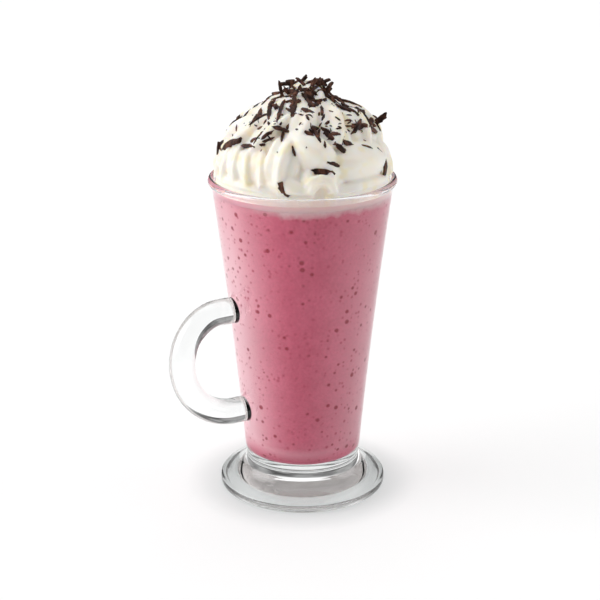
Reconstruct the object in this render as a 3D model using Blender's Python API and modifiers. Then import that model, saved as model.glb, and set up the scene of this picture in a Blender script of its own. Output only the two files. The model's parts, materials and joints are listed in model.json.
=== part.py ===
"""A cold berry drink in a footed, handled glass, heaped with piped cream and chocolate shavings.

The glass stands on the plane Z = 0 with its axis on Z and its handle towards -X.
Every length is in metres.
"""

import math
import random

import bmesh
import bpy
from mathutils import Matrix, Vector
from mathutils.bvhtree import BVHTree

MM = 0.001

# ---- Driving dimensions of the glass
GLASS_HEIGHT = 150.0 * MM
WALL = 2.5 * MM                       # thickness of the side wall
WALL_BOTTOM_Z = 20.0 * MM             # where the straight side starts, above the waist
WALL_BOTTOM_RADIUS = 27.2 * MM        # outer radius there
WALL_SLOPE = 0.085                    # growth of the radius per unit of height
WALL_FLARE = 0.194                    # growth of that slope, per metre of height
BEAD_RADIUS = 1.7 * MM                # half the width of the rounded rim
RIM_RADIUS = 42.7 * MM                # outer radius of the rim
FLOOR_Z = 17.0 * MM                   # inside bottom of the cup
FLOOR_CORNER = 11.0 * MM              # rounding between the inside bottom and the wall
WAIST_RADIUS = 26.4 * MM
WAIST_Z = 15.5 * MM
FOOT_RADIUS = 39.0 * MM
FOOT_EDGE = 4.6 * MM                  # height of the foot's rounded edge
FOOT_ROUNDING = 1.6 * MM
GLASS_SEGMENTS = 52

# ---- The handle: a round rod bent in one plane, from the upper joint to the lower one
ROD_RADIUS = 6.0 * MM
ROD_SIDES = 14
PAD_SCALE = 1.17                      # how much the rod swells where it meets the wall
PAD_DEPTH = 1.6 * MM                  # how far the rod's ends reach into the wall
HANDLE_TOP_Z = 91.5 * MM
HANDLE_LOW_Z = 42.2 * MM
HANDLE_MID_Z = 69.0 * MM
HANDLE_REACH = 61.3 * MM              # the rod's centre line at its farthest from the axis
TOP_BEND_START = 42.0 * MM            # distance from the axis where the upper bend starts
LOW_BEND_START = 36.0 * MM
QUARTER = 0.5523                      # handle length of a Bezier quarter circle, per radius

# ---- The drink and the cream
GAP = 0.3 * MM                        # clearance between neighbouring pieces
DRINK_TOP_Z = 144.0 * MM
CREAM_RADIUS = 41.5 * MM              # the heap's radius at the rim
CREAM_HEIGHT = 41.0 * MM              # the heap's height above the rim
CREAM_POWER = 2.0                     # roundness of the heap's side: 2 is an ellipse
CREAM_LEAN = 2.4 * MM                 # how far the heap's top leans to the right
CORE_DEPTH = 7.5 * MM                 # how deep the plain core lies under the heap's outline
RIM_CLEAR = 1.0 * MM                  # height over the rim from which cream may overhang it
FRONT = math.radians(-118.0)          # direction of the side from which the drink is shown
LOBES = 5                             # ridges of the star nozzle
STAR_DEPTH = 0.24                     # groove depth, as a share of the rope's radius
STAR_POINTS = 3                       # points of the section for each ridge
ROPE_STEPS = 3                        # rings between two control points
CREAM_VOXEL = 1.1 * MM                # grain at which the ropes melt into one body
CREAM_DETAIL = 0.067                  # share of the melted body's triangles that is kept

CAP_WELD = 0.01 * MM                  # joins a curve's end caps to its tube
SEAM_WELD = 0.0 * MM                  # joins points that a Boolean leaves on each other

GLASS_COLOUR = (0.96, 0.98, 0.98, 1.0)
DRINK_COLOUR = (0.70, 0.19, 0.30, 1.0)
CREAM_COLOUR = (0.95, 0.92, 0.87, 1.0)


# ---- Small helpers

def collection(name):
    made = bpy.data.collections.new(name)
    bpy.context.scene.collection.children.link(made)
    return made


def material(name, colour, roughness, transmission=0.0):
    made = bpy.data.materials.new(name)
    made.use_nodes = True
    shader = made.node_tree.nodes["Principled BSDF"]
    shader.inputs["Base Color"].default_value = colour
    shader.inputs["Roughness"].default_value = roughness
    shader.inputs["Metallic"].default_value = 0.0
    shader.inputs["Transmission Weight"].default_value = transmission
    return made


def arc(centre_r, centre_z, radius, start, end, steps):
    """Points (r, z) on an arc, with angles in degrees from +r towards +z."""
    points = []
    for i in range(steps + 1):
        angle = math.radians(start + (end - start) * i / steps)
        points.append((centre_r + radius * math.cos(angle), centre_z + radius * math.sin(angle)))
    return points


def turned(name, profile, group, steps=GLASS_SEGMENTS):
    """A solid of revolution: the profile (r, z) runs up the inside and down the outer side."""
    mesh = bpy.data.meshes.new(name)
    mesh.from_pydata([(r, 0.0, z) for r, z in profile], [(i, i + 1) for i in range(len(profile) - 1)], [])
    made = bpy.data.objects.new(name, mesh)
    group.objects.link(made)
    screw = made.modifiers.new("turn", "SCREW")
    screw.angle = math.tau
    screw.steps = steps
    screw.render_steps = steps
    screw.use_merge_vertices = True
    screw.merge_threshold = 0.00002
    screw.use_smooth_shade = True
    return made


def evaluated_mesh(source, weld):
    """The object's mesh as its modifiers or its curve settings shape it, with near points welded."""
    graph = bpy.context.evaluated_depsgraph_get()
    graph.update()
    mesh = bpy.data.meshes.new_from_object(source.evaluated_get(graph))
    shape = bmesh.new()
    shape.from_mesh(mesh)
    if weld:
        bmesh.ops.remove_doubles(shape, verts=shape.verts, dist=weld)
    bmesh.ops.recalc_face_normals(shape, faces=shape.faces)
    shape.to_mesh(mesh)
    shape.free()
    return mesh


def as_mesh(source, group):
    """Replaces a curve by a mesh object of the same name and place."""
    mesh = evaluated_mesh(source, CAP_WELD)
    name = source.name
    place = source.matrix_world.copy()
    bpy.data.objects.remove(source)
    made = bpy.data.objects.new(name, mesh)
    made.matrix_world = place
    group.objects.link(made)
    return made


def boolean(target, operation, other=None, group=None, solver="EXACT"):
    cut = target.modifiers.new(operation.lower(), "BOOLEAN")
    cut.operation = operation
    cut.solver = solver
    if group:
        cut.operand_type = "COLLECTION"
        cut.collection = group
    else:
        cut.object = other
    return cut


def hide_cutter(cutter):
    cutter.hide_render = True
    cutter.display_type = "WIRE"


# ---- The glass

def wall_radius(z):
    """Outer radius of the side wall at the height z."""
    rise = z - WALL_BOTTOM_Z
    return WALL_BOTTOM_RADIUS + WALL_SLOPE * rise + WALL_FLARE * rise * rise


def wall_heights(low, high, steps):
    return [low + (high - low) * i / steps for i in range(steps + 1)]


def cup_profile(inset):
    """The inside of the cup, from the middle of its floor up to under the rim, moved in by inset."""
    corner_z = FLOOR_Z + FLOOR_CORNER
    corner_r = wall_radius(corner_z) - WALL - FLOOR_CORNER
    shrunk = FLOOR_CORNER - inset
    points = [(0.0, FLOOR_Z + inset)]
    points += arc(corner_r, corner_z, shrunk, -90.0, -6.0, 4)
    points += [(wall_radius(z) - WALL - inset, z) for z in wall_heights(30.0 * MM, 146.0 * MM, 3)]
    return points


def foot_profile():
    """The outside from the waist down over the flare to the middle of the base."""
    flare = [(26.8 * MM, 13.4 * MM), (28.0 * MM, 10.6 * MM), (30.0 * MM, 8.4 * MM),
             (32.8 * MM, 6.7 * MM), (36.0 * MM, 5.4 * MM)]
    edge_r = FOOT_RADIUS - FOOT_ROUNDING
    edge = arc(edge_r, FOOT_EDGE - FOOT_ROUNDING, FOOT_ROUNDING, 75.0, 0.0, 2)
    under = arc(edge_r, FOOT_ROUNDING, FOOT_ROUNDING, 0.0, -90.0, 2)
    return [(WAIST_RADIUS, WAIST_Z)] + flare + edge + under + [(0.0, 0.0)]


def glass_profile():
    bead_z = GLASS_HEIGHT - BEAD_RADIUS
    bead = arc(RIM_RADIUS - BEAD_RADIUS, bead_z, BEAD_RADIUS, 190.0, -50.0, 7)
    side = [(wall_radius(z), z) for z in wall_heights(146.2 * MM, WALL_BOTTOM_Z, 4)]
    shoulder = [(26.75 * MM, 17.8 * MM)]
    return cup_profile(0.0) + bead + side + shoulder + foot_profile()


def rod_curve(group):
    """The handle's centre line in the XZ plane, as a Bezier spline that starts inside the wall."""
    curve = bpy.data.curves.new("handle_rod", "CURVE")
    curve.dimensions = "3D"
    curve.bevel_depth = ROD_RADIUS
    curve.bevel_resolution = (ROD_SIDES - 4) // 2
    curve.resolution_u = 7
    curve.use_fill_caps = True
    top_start = wall_radius(HANDLE_TOP_Z) - PAD_DEPTH
    low_start = wall_radius(HANDLE_LOW_Z) - PAD_DEPTH
    top_pull = (HANDLE_REACH - TOP_BEND_START) * QUARTER
    low_pull = (HANDLE_REACH - LOW_BEND_START) * QUARTER
    up_pull = (HANDLE_TOP_Z - HANDLE_MID_Z) * QUARTER
    down_pull = (HANDLE_MID_Z - HANDLE_LOW_Z) * QUARTER
    stub = 2.0 * MM
    knots = [                         # distance from the axis, height, pull before, pull after, swelling
        (top_start, HANDLE_TOP_Z, (-stub, 0.0), (stub, 0.0), PAD_SCALE),
        (TOP_BEND_START, HANDLE_TOP_Z, (-stub, 0.0), (top_pull, 0.0), 1.0),
        (HANDLE_REACH, HANDLE_MID_Z, (0.0, up_pull), (0.0, -down_pull), 1.0),
        (LOW_BEND_START, HANDLE_LOW_Z, (low_pull, 0.0), (-stub, 0.0), 1.0),
        (low_start, HANDLE_LOW_Z, (stub, 0.0), (-stub, 0.0), PAD_SCALE),
    ]
    spline = curve.splines.new("BEZIER")
    spline.bezier_points.add(len(knots) - 1)
    for point, (reach, z, before, after, swelling) in zip(spline.bezier_points, knots):
        point.co = (-reach, 0.0, z)
        point.handle_left = (-reach - before[0], 0.0, z + before[1])
        point.handle_right = (-reach - after[0], 0.0, z + after[1])
        point.radius = swelling
    made = bpy.data.objects.new("handle_rod", curve)
    group.objects.link(made)
    return made


def make_glass(group, cutters):
    glass = turned("glass", glass_profile(), group)
    rod = as_mesh(rod_curve(cutters), cutters)
    hide_cutter(rod)
    boolean(glass, "UNION", other=rod)
    glass.data.materials.append(material("clear_glass", GLASS_COLOUR, 0.02, transmission=1.0))
    return glass


# ---- The drink

def make_drink(group):
    profile = [point for point in cup_profile(GAP) if point[1] < DRINK_TOP_Z]
    profile.append((wall_radius(DRINK_TOP_Z) - WALL - GAP, DRINK_TOP_Z))
    profile.append((0.0, DRINK_TOP_Z))
    drink = turned("drink", profile[::-1], group)
    drink.data.materials.append(material("berry_drink", DRINK_COLOUR, 0.35))
    return drink


# ---- The cream

def heap_point(turn, z, depth=0.0):
    """A point at a depth under the heap's smooth outline, and the outward direction there.

    turn is in degrees from the front, positive to the right."""
    share = min(max((z - GLASS_HEIGHT) / CREAM_HEIGHT, 0.0), 0.999)
    radius = CREAM_RADIUS * (1.0 - share ** CREAM_POWER) ** (1.0 / CREAM_POWER)
    fall = CREAM_RADIUS / CREAM_HEIGHT * (share / max(radius / CREAM_RADIUS, 0.02)) ** (CREAM_POWER - 1.0)
    tilt = math.atan(fall)
    angle = FRONT + math.radians(turn)
    side = Vector((math.cos(angle), math.sin(angle), 0.0))
    outward = side * math.cos(tilt) + Vector((0.0, 0.0, 1.0)) * math.sin(tilt)
    right_way = Vector((math.cos(FRONT + math.pi / 2), math.sin(FRONT + math.pi / 2), 0.0))
    lean = right_way * CREAM_LEAN * share ** 2
    point = side * radius + Vector((0.0, 0.0, z)) + lean
    return point - outward * depth, outward


def star_section(radius, lobes, depth, name, group):
    """The star nozzle's outline as a closed 2D curve, for use as a bevel."""
    curve = bpy.data.curves.new(name, "CURVE")
    curve.dimensions = "2D"
    spline = curve.splines.new("POLY")
    count = lobes * STAR_POINTS
    spline.points.add(count - 1)
    for i in range(count):
        angle = math.tau * i / count
        reach = radius * (1.0 - depth * (0.5 - 0.5 * math.cos(lobes * angle)))
        spline.points[i].co = (reach * math.cos(angle), reach * math.sin(angle), 0.0, 1.0)
    spline.use_cyclic_u = True
    made = bpy.data.objects.new(name, curve)
    hide_cutter(made)
    group.objects.link(made)
    return made


def rope(name, path, radius, twist, group, swell=None, lobes=LOBES, depth=STAR_DEPTH):
    """A piped rope: a star section drawn along a smooth path, turning by twist degrees."""
    swell = swell or [0.85] + [1.0] * (len(path) - 2) + [0.45]
    section = star_section(radius, lobes, depth, name + "_section", group)
    curve = bpy.data.curves.new(name, "CURVE")
    curve.dimensions = "3D"
    curve.bevel_mode = "OBJECT"
    curve.bevel_object = section
    curve.use_fill_caps = True
    curve.resolution_u = ROPE_STEPS
    spline = curve.splines.new("NURBS")
    spline.points.add(len(path) - 1)
    for i, place in enumerate(path):
        spline.points[i].co = (*place, 1.0)
        spline.points[i].radius = swell[i]
        spline.points[i].tilt = math.radians(twist) * i / (len(path) - 1)
    spline.order_u = 4
    spline.use_endpoint_u = True
    made = bpy.data.objects.new(name, curve)
    group.objects.link(made)
    solid = as_mesh(made, group)
    bpy.data.objects.remove(section)
    return solid


def petal(name, foot, head, radius, twist, group):
    """One short rope up the heap's side, from foot to head, each a turn in degrees and a height."""
    path = []
    for share in (0.0, 0.25, 0.55, 0.8, 1.0):
        turn = foot[0] + (head[0] - foot[0]) * share
        z = foot[1] + (head[1] - foot[1]) * share
        path.append(heap_point(turn, z, radius * (0.97 + 0.3 * abs(share - 0.4)))[0])
    return rope(name, path, radius, twist, group)


def heap_profile(depth, low_z):
    """The heap's outline, at a depth under it, from its top down to low_z inside the glass."""
    top = CREAM_HEIGHT - 0.3 * depth
    points = []
    for i in range(9):
        share = math.cos(math.radians(90.0 * i / 8)) ** 1.2
        radius = (CREAM_RADIUS - depth) * (1.0 - share ** CREAM_POWER) ** (1.0 / CREAM_POWER)
        points.append((radius if i else 0.0, GLASS_HEIGHT + top * share))
    cup = wall_radius(GLASS_HEIGHT) - WALL
    return points + [(cup, GLASS_HEIGHT - 1.0 * MM), (cup, low_z), (0.0, low_z)]


def free_space_profile():
    """The room that cream may fill: inside the cup up to the rim, wider above it."""
    low_z = DRINK_TOP_Z + GAP
    rim_inside = RIM_RADIUS - 2.0 * BEAD_RADIUS - GAP
    over_rim = GLASS_HEIGHT + RIM_CLEAR
    wide = CREAM_RADIUS + 10.0 * MM
    sky = GLASS_HEIGHT + 2.0 * CREAM_HEIGHT
    rise = [(wall_radius(z) - WALL - GAP, z) for z in (low_z, GLASS_HEIGHT - 4.0 * MM)]
    rise += [(rim_inside, GLASS_HEIGHT - 2.0 * MM), (rim_inside, over_rim)]
    rise += [(RIM_RADIUS - BEAD_RADIUS, over_rim + GAP), (wide, over_rim + 5.0 * MM), (wide, sky)]
    return [(0.0, low_z)] + rise + [(0.0, sky)]


# Petals: turn and height over the rim (mm) at the foot, the same at the head, radius (mm), twist (degrees).
PETALS = [
    (-99, -4, -92, 22, 7.6, 50),
    (-80, -4, -78, 21, 6.8, 60),
    (88, -4, 80, 22, 8.6, 20),
    (2, -4, 4, 15, 7.2, 10),
    (18, -4, 16, 18, 7.6, 10),
    (-98, 15, -76, 37, 9.2, 50),
    (-70, 17, -50, 37, 9.2, 40),
    (-42, 18, -24, 38, 8.2, 30),
    (-8, 22, 6, 40, 8.0, 30),
    (26, 22, 38, 40, 8.2, 30),
    (58, 20, 70, 38, 8.4, 30),
    (88, 18, 98, 38, 8.0, 30),
]
# Ropes along a route: radius (mm), twist (degrees), groove depth as a share of the radius, ridges, and
# the route's points as turn, height over the rim (mm) and depth under the heap's outline (mm).
ROUTES = [
    # the smooth roll at the right and the band under it
    (9.4, 10, 0.10, 5, [(20, 16, 10.5), (33, 14.5, 8), (50, 13.5, 7.5), (68, 13, 8), (88, 12, 10)]),
    (4.8, 60, 0.20, 5, [(20, 0, 5), (34, 1, 4.6), (48, 2, 4.6), (62, 2, 4.6), (78, 1, 5)]),
    # the fold that sweeps down to the right over the middle
    (8.2, 20, 0.10, 5, [(-12, 28, 10), (-3, 24, 7), (6, 20.5, 6.2), (14, 17, 6.2), (25, 11, 8)]),
    # the shell left of the middle and the fold under it
    (8.4, 12, 0.22, 6, [(-15, 2, 9), (-16, 9, 6.2), (-15, 16, 5.8), (-14, 22, 7), (-12, 27, 10)]),
    (5.6, 30, 0.12, 5, [(-24, 7, 6.5), (-15, 6.5, 5), (-7, 4.5, 4.6), (0, 1.5, 4.8), (5, -3, 6)]),
    # ruffles at the left and the band under them
    (5.6, 50, 0.30, 4, [(-27, 5, 5.5), (-29, 10, 4.6), (-32, 15, 4.6), (-35, 20, 6)]),
    (5.6, 50, 0.30, 4, [(-38, 4, 5.5), (-40, 9, 4.6), (-44, 14, 4.6), (-48, 19, 6)]),
    (5.6, 60, 0.30, 4, [(-50, 4, 5.5), (-52, 9, 4.6), (-56, 14, 4.6), (-61, 19, 6)]),
    (5.8, 60, 0.30, 4, [(-63, 3, 5.5), (-65, 8, 4.6), (-68, 13, 4.6), (-73, 18, 6)]),
    (4.6, 80, 0.22, 5, [(-86, 1, 5), (-66, 1.5, 4.4), (-46, 1.5, 4.4), (-28, 1.5, 4.4), (-12, -1, 5.5)]),
    # the small hooked curl at the rim, just right of the middle
    (3.2, 40, 0.30, 5, [(2, -1, 3.5), (4, 6, 1.5), (11, 9.5, 0.6), (18, 7, 1), (21, -1, 2.5)]),
]
BACK_FROM = 108.0                     # the hidden side's petals run between these turns
BACK_TO = 246.0

# The shavings of the shown side lie in bands. Each band runs between two places as seen from the front,
# to the right of the glass's axis and above its rim, and the shavings stray from its line and turn from
# its direction. Directions are in degrees, and all else is in millimetres.
SHAVING_BANDS = [
    # count, from, to, stray, direction, turned by up to, lengths, widths
    (12, (-8, 42), (11, 43), 1.6, 10, 60, (3.0, 6.0), (0.8, 1.5)),       # standing up at the peak
    (15, (-9, 37), (12, 38), 2.8, 60, 80, (3.0, 6.5), (0.9, 2.4)),       # the thick of the pile
    (7, (-7, 31), (9, 31), 2.2, 0, 90, (2.0, 6.5), (1.0, 2.4)),          # under the pile
    (8, (12, 37), (21, 27), 2.0, -50, 40, (3.0, 9.0), (0.9, 1.6)),       # down the right flank
    (9, (22, 22), (34, 24), 2.6, 15, 55, (2.5, 8.0), (1.0, 2.3)),        # the right shoulder
    (12, (2, 22), (20, 13), 2.4, -32, 35, (3.0, 8.0), (0.9, 2.2)),       # across the front
    (7, (-11, 31), (-26, 25), 2.2, 55, 30, (3.0, 11.0), (1.0, 1.9)),     # down the left flank
    (10, (-9, 21), (-24, 13), 2.6, 45, 65, (2.0, 8.0), (0.8, 1.4)),      # the left shoulder
    (12, (-22, 24), (24, 24), 4.0, 0, 90, (1.4, 3.4), (0.6, 1.2)),       # slivers between them
]
# The place of each one that lies apart, its length, its direction and its width.
LONE_SHAVINGS = [
    ((9, 2), 9, -5, 3.4),
    ((14, 5), 6, -15, 1.6),
    ((-8, -7), 8, -45, 2.8),
    ((35.5, 6), 13, -75, 2.2),
    ((-32, 14), 10, 35, 2.6),
    ((-38, 12), 6, 85, 1.2),
    ((29, 13), 5, -15, 1.0),
    ((-4, 11), 5, -75, 0.8),
]
BAND_SEED = 11
EVEN_STEP = 0.618                     # the golden ratio, which spreads any number of places evenly
EYE_DISTANCE = 680.0 * MM             # where a viewer stands who sees the shavings at these places
EYE_HEIGHT = 330.0 * MM
SHAVING_THICKNESS = 0.9 * MM
SHAVING_SINK = 0.5 * MM               # how far a shaving settles into the cream
SHORT_SHAVING = 5.0 * MM              # a shaving up to this length is straight
MOST_BOW = 0.14                       # the most a shaving bows, as a share of its length
LEAST_SHAVING = 4.4                   # shorter shavings than this, in mm, are too fine for a solid
BACK_SHAVINGS = 34
SHAVING_SEED = 7


def make_core(group, cutters):
    """The heap's inside, under the petals, with everything piped on it joined and cut clear of the glass."""
    core = turned("whipped_cream", heap_profile(CORE_DEPTH, DRINK_TOP_Z - 2.0 * MM), group, steps=40)
    piped = collection("piped_ropes")
    jitter = random.Random(11)
    for i, (turn0, z0, turn1, z1, radius, twist) in enumerate(PETALS):
        foot = (turn0, GLASS_HEIGHT + z0 * MM)
        head = (turn1, GLASS_HEIGHT + z1 * MM)
        petal(f"petal_{i}", foot, head, radius * MM, twist, piped)
    for ring, count, low, high, radius in (("low", 8, -4.0, 22.0, 8.2), ("high", 4, 17.0, 37.0, 8.6)):
        for i in range(count):
            turn = BACK_FROM + (BACK_TO - BACK_FROM) * i / (count - 1)
            size = radius * jitter.uniform(0.9, 1.08) * MM
            foot = (turn + jitter.uniform(-3, 3), GLASS_HEIGHT + low * MM)
            head = (turn - 8.0, GLASS_HEIGHT + (high + jitter.uniform(-1, 1)) * MM)
            petal(f"back_{ring}_{i}", foot, head, size, 50, piped)
    for i, (radius, twist, groove, lobes, route) in enumerate(ROUTES):
        pipe_route(f"route_{i}", radius, twist, groove, lobes, route, piped)
    pipe_peak(piped)
    room = turned("free_space", free_space_profile(), cutters, steps=GLASS_SEGMENTS)
    hide_cutter(room)
    boolean(core, "UNION", group=piped, solver="MANIFOLD")
    melt(core)
    boolean(core, "INTERSECT", other=room, solver="MANIFOLD")
    apply_modifiers(core)
    empty_collection(piped)
    return core


def melt(target):
    """Melts the joined ropes into one soft skin, then thins its faces."""
    remesh = target.modifiers.new("melt", "REMESH")
    remesh.mode = "VOXEL"
    remesh.voxel_size = CREAM_VOXEL
    smooth = target.modifiers.new("soften", "SMOOTH")
    smooth.factor = 0.5
    smooth.iterations = 2
    thin = target.modifiers.new("thin", "DECIMATE")
    thin.ratio = CREAM_DETAIL


def pipe_route(name, radius, twist, groove, lobes, route, group):
    """A rope that follows a route over the heap."""
    path = [heap_point(turn, GLASS_HEIGHT + z * MM, depth * MM)[0] for turn, z, depth in route]
    swell = [0.75] + [1.0] * (len(route) - 2) + [0.6]
    rope(name, path, radius * MM, twist, group, swell, lobes, groove)


def pipe_peak(group):
    """The last twist of cream on top, drawn up to a soft point."""
    right_end = heap_point(90.0, GLASS_HEIGHT + CREAM_HEIGHT)[0]
    left_end = heap_point(-90.0, GLASS_HEIGHT + CREAM_HEIGHT)[0]
    lean = (right_end - left_end) / 2
    lean.z = 0.0
    path = []
    for z, share in ((15.0, 0.3), (25.0, 0.7), (33.0, 1.2), (39.0, 1.6), (42.0, 2.0)):
        path.append(lean * share + Vector((0.0, 0.0, GLASS_HEIGHT + z * MM)))
    rope("peak", path, 14.0 * MM, 110, group, swell=[1.0, 1.15, 1.0, 0.72, 0.3], lobes=6)


def apply_modifiers(target):
    mesh = evaluated_mesh(target, SEAM_WELD)
    target.modifiers.clear()
    target.data = mesh


def empty_collection(group):
    for made in list(group.objects):
        bpy.data.objects.remove(made)
    bpy.data.collections.remove(group)


def front_axes():
    """Directions to the right, up and towards the viewer, as seen from the front."""
    right = Vector((math.cos(FRONT + math.pi / 2), math.sin(FRONT + math.pi / 2), 0.0))
    eye = Vector((math.cos(FRONT) * EYE_DISTANCE, math.sin(FRONT) * EYE_DISTANCE, EYE_HEIGHT))
    return right, Vector((0.0, 0.0, 1.0)), eye


def sight(tree, right_mm, rise_mm):
    """The eye's line through a place over the axis: its direction, how far it runs, and what it meets."""
    right, up, eye = front_axes()
    aim = right * right_mm * MM + up * (GLASS_HEIGHT + rise_mm * MM)
    direction = (aim - eye).normalized()
    hit = tree.ray_cast(eye, direction)[0]
    reach = ((hit or aim) - eye).length
    return eye, direction, reach, hit is not None


def seen_line(tree, x0, z0, x1, z1):
    """Both ends of a shaving on the cream. An end that juts out past the heap keeps its partner's depth."""
    eye, start_way, start_reach, start_hit = sight(tree, x0, z0)
    end_way, end_reach, end_hit = sight(tree, x1, z1)[1:]
    if start_hit and not end_hit:
        end_reach = start_reach
    if end_hit and not start_hit:
        start_reach = end_reach
    start = eye + start_way * start_reach
    end = eye + end_way * end_reach
    if not start_hit and not end_hit:
        middle = (start + end) / 2
        shift = tree.find_nearest(middle)[0] - middle
        start, end = start + shift, end + shift
    return start, end


def strip(name, start, end, outward, width, bow, group):
    """A shaving from start to end: a cube drawn out, narrowed at its ends and bowed outward."""
    length = (end - start).length
    along = (end - start).normalized()
    across = outward.cross(along).normalized()
    normal = along.cross(across).normalized()
    shape = bmesh.new()
    bmesh.ops.create_cube(shape, size=1.0)
    if length > SHORT_SHAVING:
        long_edges = [edge for edge in shape.edges if abs(edge.verts[0].co.x - edge.verts[1].co.x) > 0.5]
        bmesh.ops.subdivide_edges(shape, edges=long_edges, cuts=1)
    for vert in shape.verts:
        share = 2.0 * vert.co.x
        vert.co.x *= length
        vert.co.y *= width * (1.0 - 0.35 * abs(share))
        vert.co.z = vert.co.z * SHAVING_THICKNESS + bow * (1.0 - share * share)
    frame = Matrix((along, across, normal)).transposed().to_4x4()
    frame.translation = (start + end) / 2
    bmesh.ops.transform(shape, matrix=frame, verts=shape.verts)
    bmesh.ops.recalc_face_normals(shape, faces=shape.faces)
    mesh = bpy.data.meshes.new(name)
    shape.to_mesh(mesh)
    shape.free()
    made = bpy.data.objects.new(name, mesh)
    group.objects.link(made)
    return made


def bow_over(tree, start, end, outward):
    """How far a shaving has to bow outward at its middle to lie over the bump between its ends."""
    reach = 8.0 * MM
    bow = 0.0
    for i in range(1, 8):
        share = i / 8.0
        place = start.lerp(end, share)
        hit = tree.ray_cast(place + outward * reach, -outward, 2.0 * reach)[0]
        if hit:
            bow = max(bow, (hit - place).dot(outward) / (4.0 * share * (1.0 - share)))
    return min(bow, MOST_BOW * (end - start).length)


def drop(tree, place, outward):
    """The point of the cream under a place, along the heap's outward direction."""
    reach = 12.0 * MM
    return tree.ray_cast(place + outward * reach, -outward, 2.0 * reach)[0] or place


def lay_shaving(index, tree, start, end, width, spread, group):
    """One shaving between two places on the cream, settled a little into it."""
    outward = heap_point(*heap_turn((start + end) / 2))[1]
    bow = bow_over(tree, start, end, outward)
    bow += spread.uniform(0.0, 0.04) * (end - start).length
    settle = outward * (SHAVING_THICKNESS / 2 - SHAVING_SINK)
    strip(f"shaving_{index}", start + settle, end + settle, outward, width, bow, group)


def heap_turn(place):
    """The turn from the front, in degrees, and the height of a place over the heap."""
    turn = math.degrees(math.atan2(place.y, place.x) - FRONT)
    return turn, min(max(place.z, GLASS_HEIGHT), GLASS_HEIGHT + 0.97 * CREAM_HEIGHT)


def shown_shavings():
    """Both ends and the width of each shaving on the shown side, in mm, the longest of a band first."""
    draw = random.Random(BAND_SEED)
    chosen = [(x, z, length, direction, width) for (x, z), length, direction, width in LONE_SHAVINGS]
    for count, (x0, z0), (x1, z1), stray, direction, turned, lengths, widths in SHAVING_BANDS:
        for i in range(count):
            share = (i * EVEN_STEP + draw.uniform(0.0, 1.0 / count)) % 1.0
            x = x0 + (x1 - x0) * share + draw.uniform(-stray, stray)
            z = z0 + (z1 - z0) * share + draw.uniform(-stray, stray)
            length = lengths[1] - (lengths[1] - lengths[0]) * i / count
            chosen.append((x, z, length, direction + draw.uniform(-turned, turned), draw.uniform(*widths)))
    ends = []
    for x, z, length, direction, width in chosen:
        half_x = length / 2 * math.cos(math.radians(direction))
        half_z = length / 2 * math.sin(math.radians(direction))
        ends.append((x - half_x, z - half_z, x + half_x, z + half_z, width))
    return ends


def add_shavings(cream):
    """Lays the chocolate shavings on the cream and joins them to it."""
    tree = BVHTree.FromObject(cream, bpy.context.evaluated_depsgraph_get())
    shavings = collection("chocolate_shavings")
    spread = random.Random(SHAVING_SEED)
    large = [item for item in shown_shavings() if math.dist(item[:2], item[2:4]) >= LEAST_SHAVING]
    for i, (x0, z0, x1, z1, width) in enumerate(large):
        start, end = seen_line(tree, x0, z0, x1, z1)
        lay_shaving(i, tree, start, end, width * MM, spread, shavings)
    for i in range(BACK_SHAVINGS):
        turn = spread.uniform(75.0, 275.0)
        rise = (4.0 + 34.0 * spread.random() ** 0.6) * MM
        middle, outward = heap_point(turn, GLASS_HEIGHT + rise)
        tangent = outward.cross(Vector((0.0, 0.0, 1.0))).normalized()
        slope = spread.uniform(0.0, math.pi)
        along = tangent * math.cos(slope) + outward.cross(tangent) * math.sin(slope)
        half = along * spread.uniform(1.8, 6.0) * MM
        width = spread.uniform(0.9, 2.6) * MM
        start, end = (drop(tree, middle + side, outward) for side in (-half, half))
        lay_shaving(len(large) + i, tree, start, end, width, spread, shavings)
    boolean(cream, "UNION", group=shavings, solver="MANIFOLD")
    apply_modifiers(cream)
    empty_collection(shavings)
    keep_largest_body(cream.data)


def keep_largest_body(mesh):
    """Drops scraps that no surface joins to the rest."""
    shape = bmesh.new()
    shape.from_mesh(mesh)
    left = set(shape.verts)
    bodies = []
    while left:
        seed = left.pop()
        body = {seed}
        front = [seed]
        while front:
            for edge in front.pop().link_edges:
                for vert in edge.verts:
                    if vert in left:
                        left.remove(vert)
                        body.add(vert)
                        front.append(vert)
        bodies.append(body)
    bodies.sort(key=len)
    scraps = [vert for body in bodies[:-1] for vert in body]
    bmesh.ops.delete(shape, geom=scraps, context="VERTS")
    bmesh.ops.triangulate(shape, faces=shape.faces)
    part_shared_diagonals(shape)
    shape.to_mesh(mesh)
    shape.free()


def part_shared_diagonals(shape):
    """Where two flat patches were cut along the same two points, gives one patch a middle point."""
    for edge in [edge for edge in shape.edges if len(edge.link_faces) > 2]:
        first = edge.link_faces[0]
        twin = max(edge.link_faces[1:], key=lambda face: face.normal.dot(first.normal))
        patch = bmesh.utils.face_join([first, twin], False)
        bmesh.ops.poke(shape, faces=[patch])


def make_cream(group, cutters):
    cream = make_core(group, cutters)
    add_shavings(cream)
    cream.data.materials.clear()
    cream.data.materials.append(material("whipped_cream", CREAM_COLOUR, 0.55))
    return cream


def build():
    for old in list(bpy.data.objects):
        bpy.data.objects.remove(old)
    parts = collection("berry_drink_in_footed_glass")
    cutters = collection("cutters")
    glass = make_glass(parts, cutters)
    drink = make_drink(parts)
    cream = make_cream(parts, cutters)
    for piece in (glass, drink, cream):
        piece.data.shade_smooth()
        piece.data.set_sharp_from_angle(angle=math.radians(35.0))


build()
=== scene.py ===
# %% [markdown]
# # A cold berry drink in a footed glass mug
#
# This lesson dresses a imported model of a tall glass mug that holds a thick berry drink, a heap of piped
# cream and a scatter of chocolate shavings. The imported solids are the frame: they fix every size and
# place. Each of them is plain, so each gets a finer piece of the same form, and then a finish.

import json
import math
import random

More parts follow.
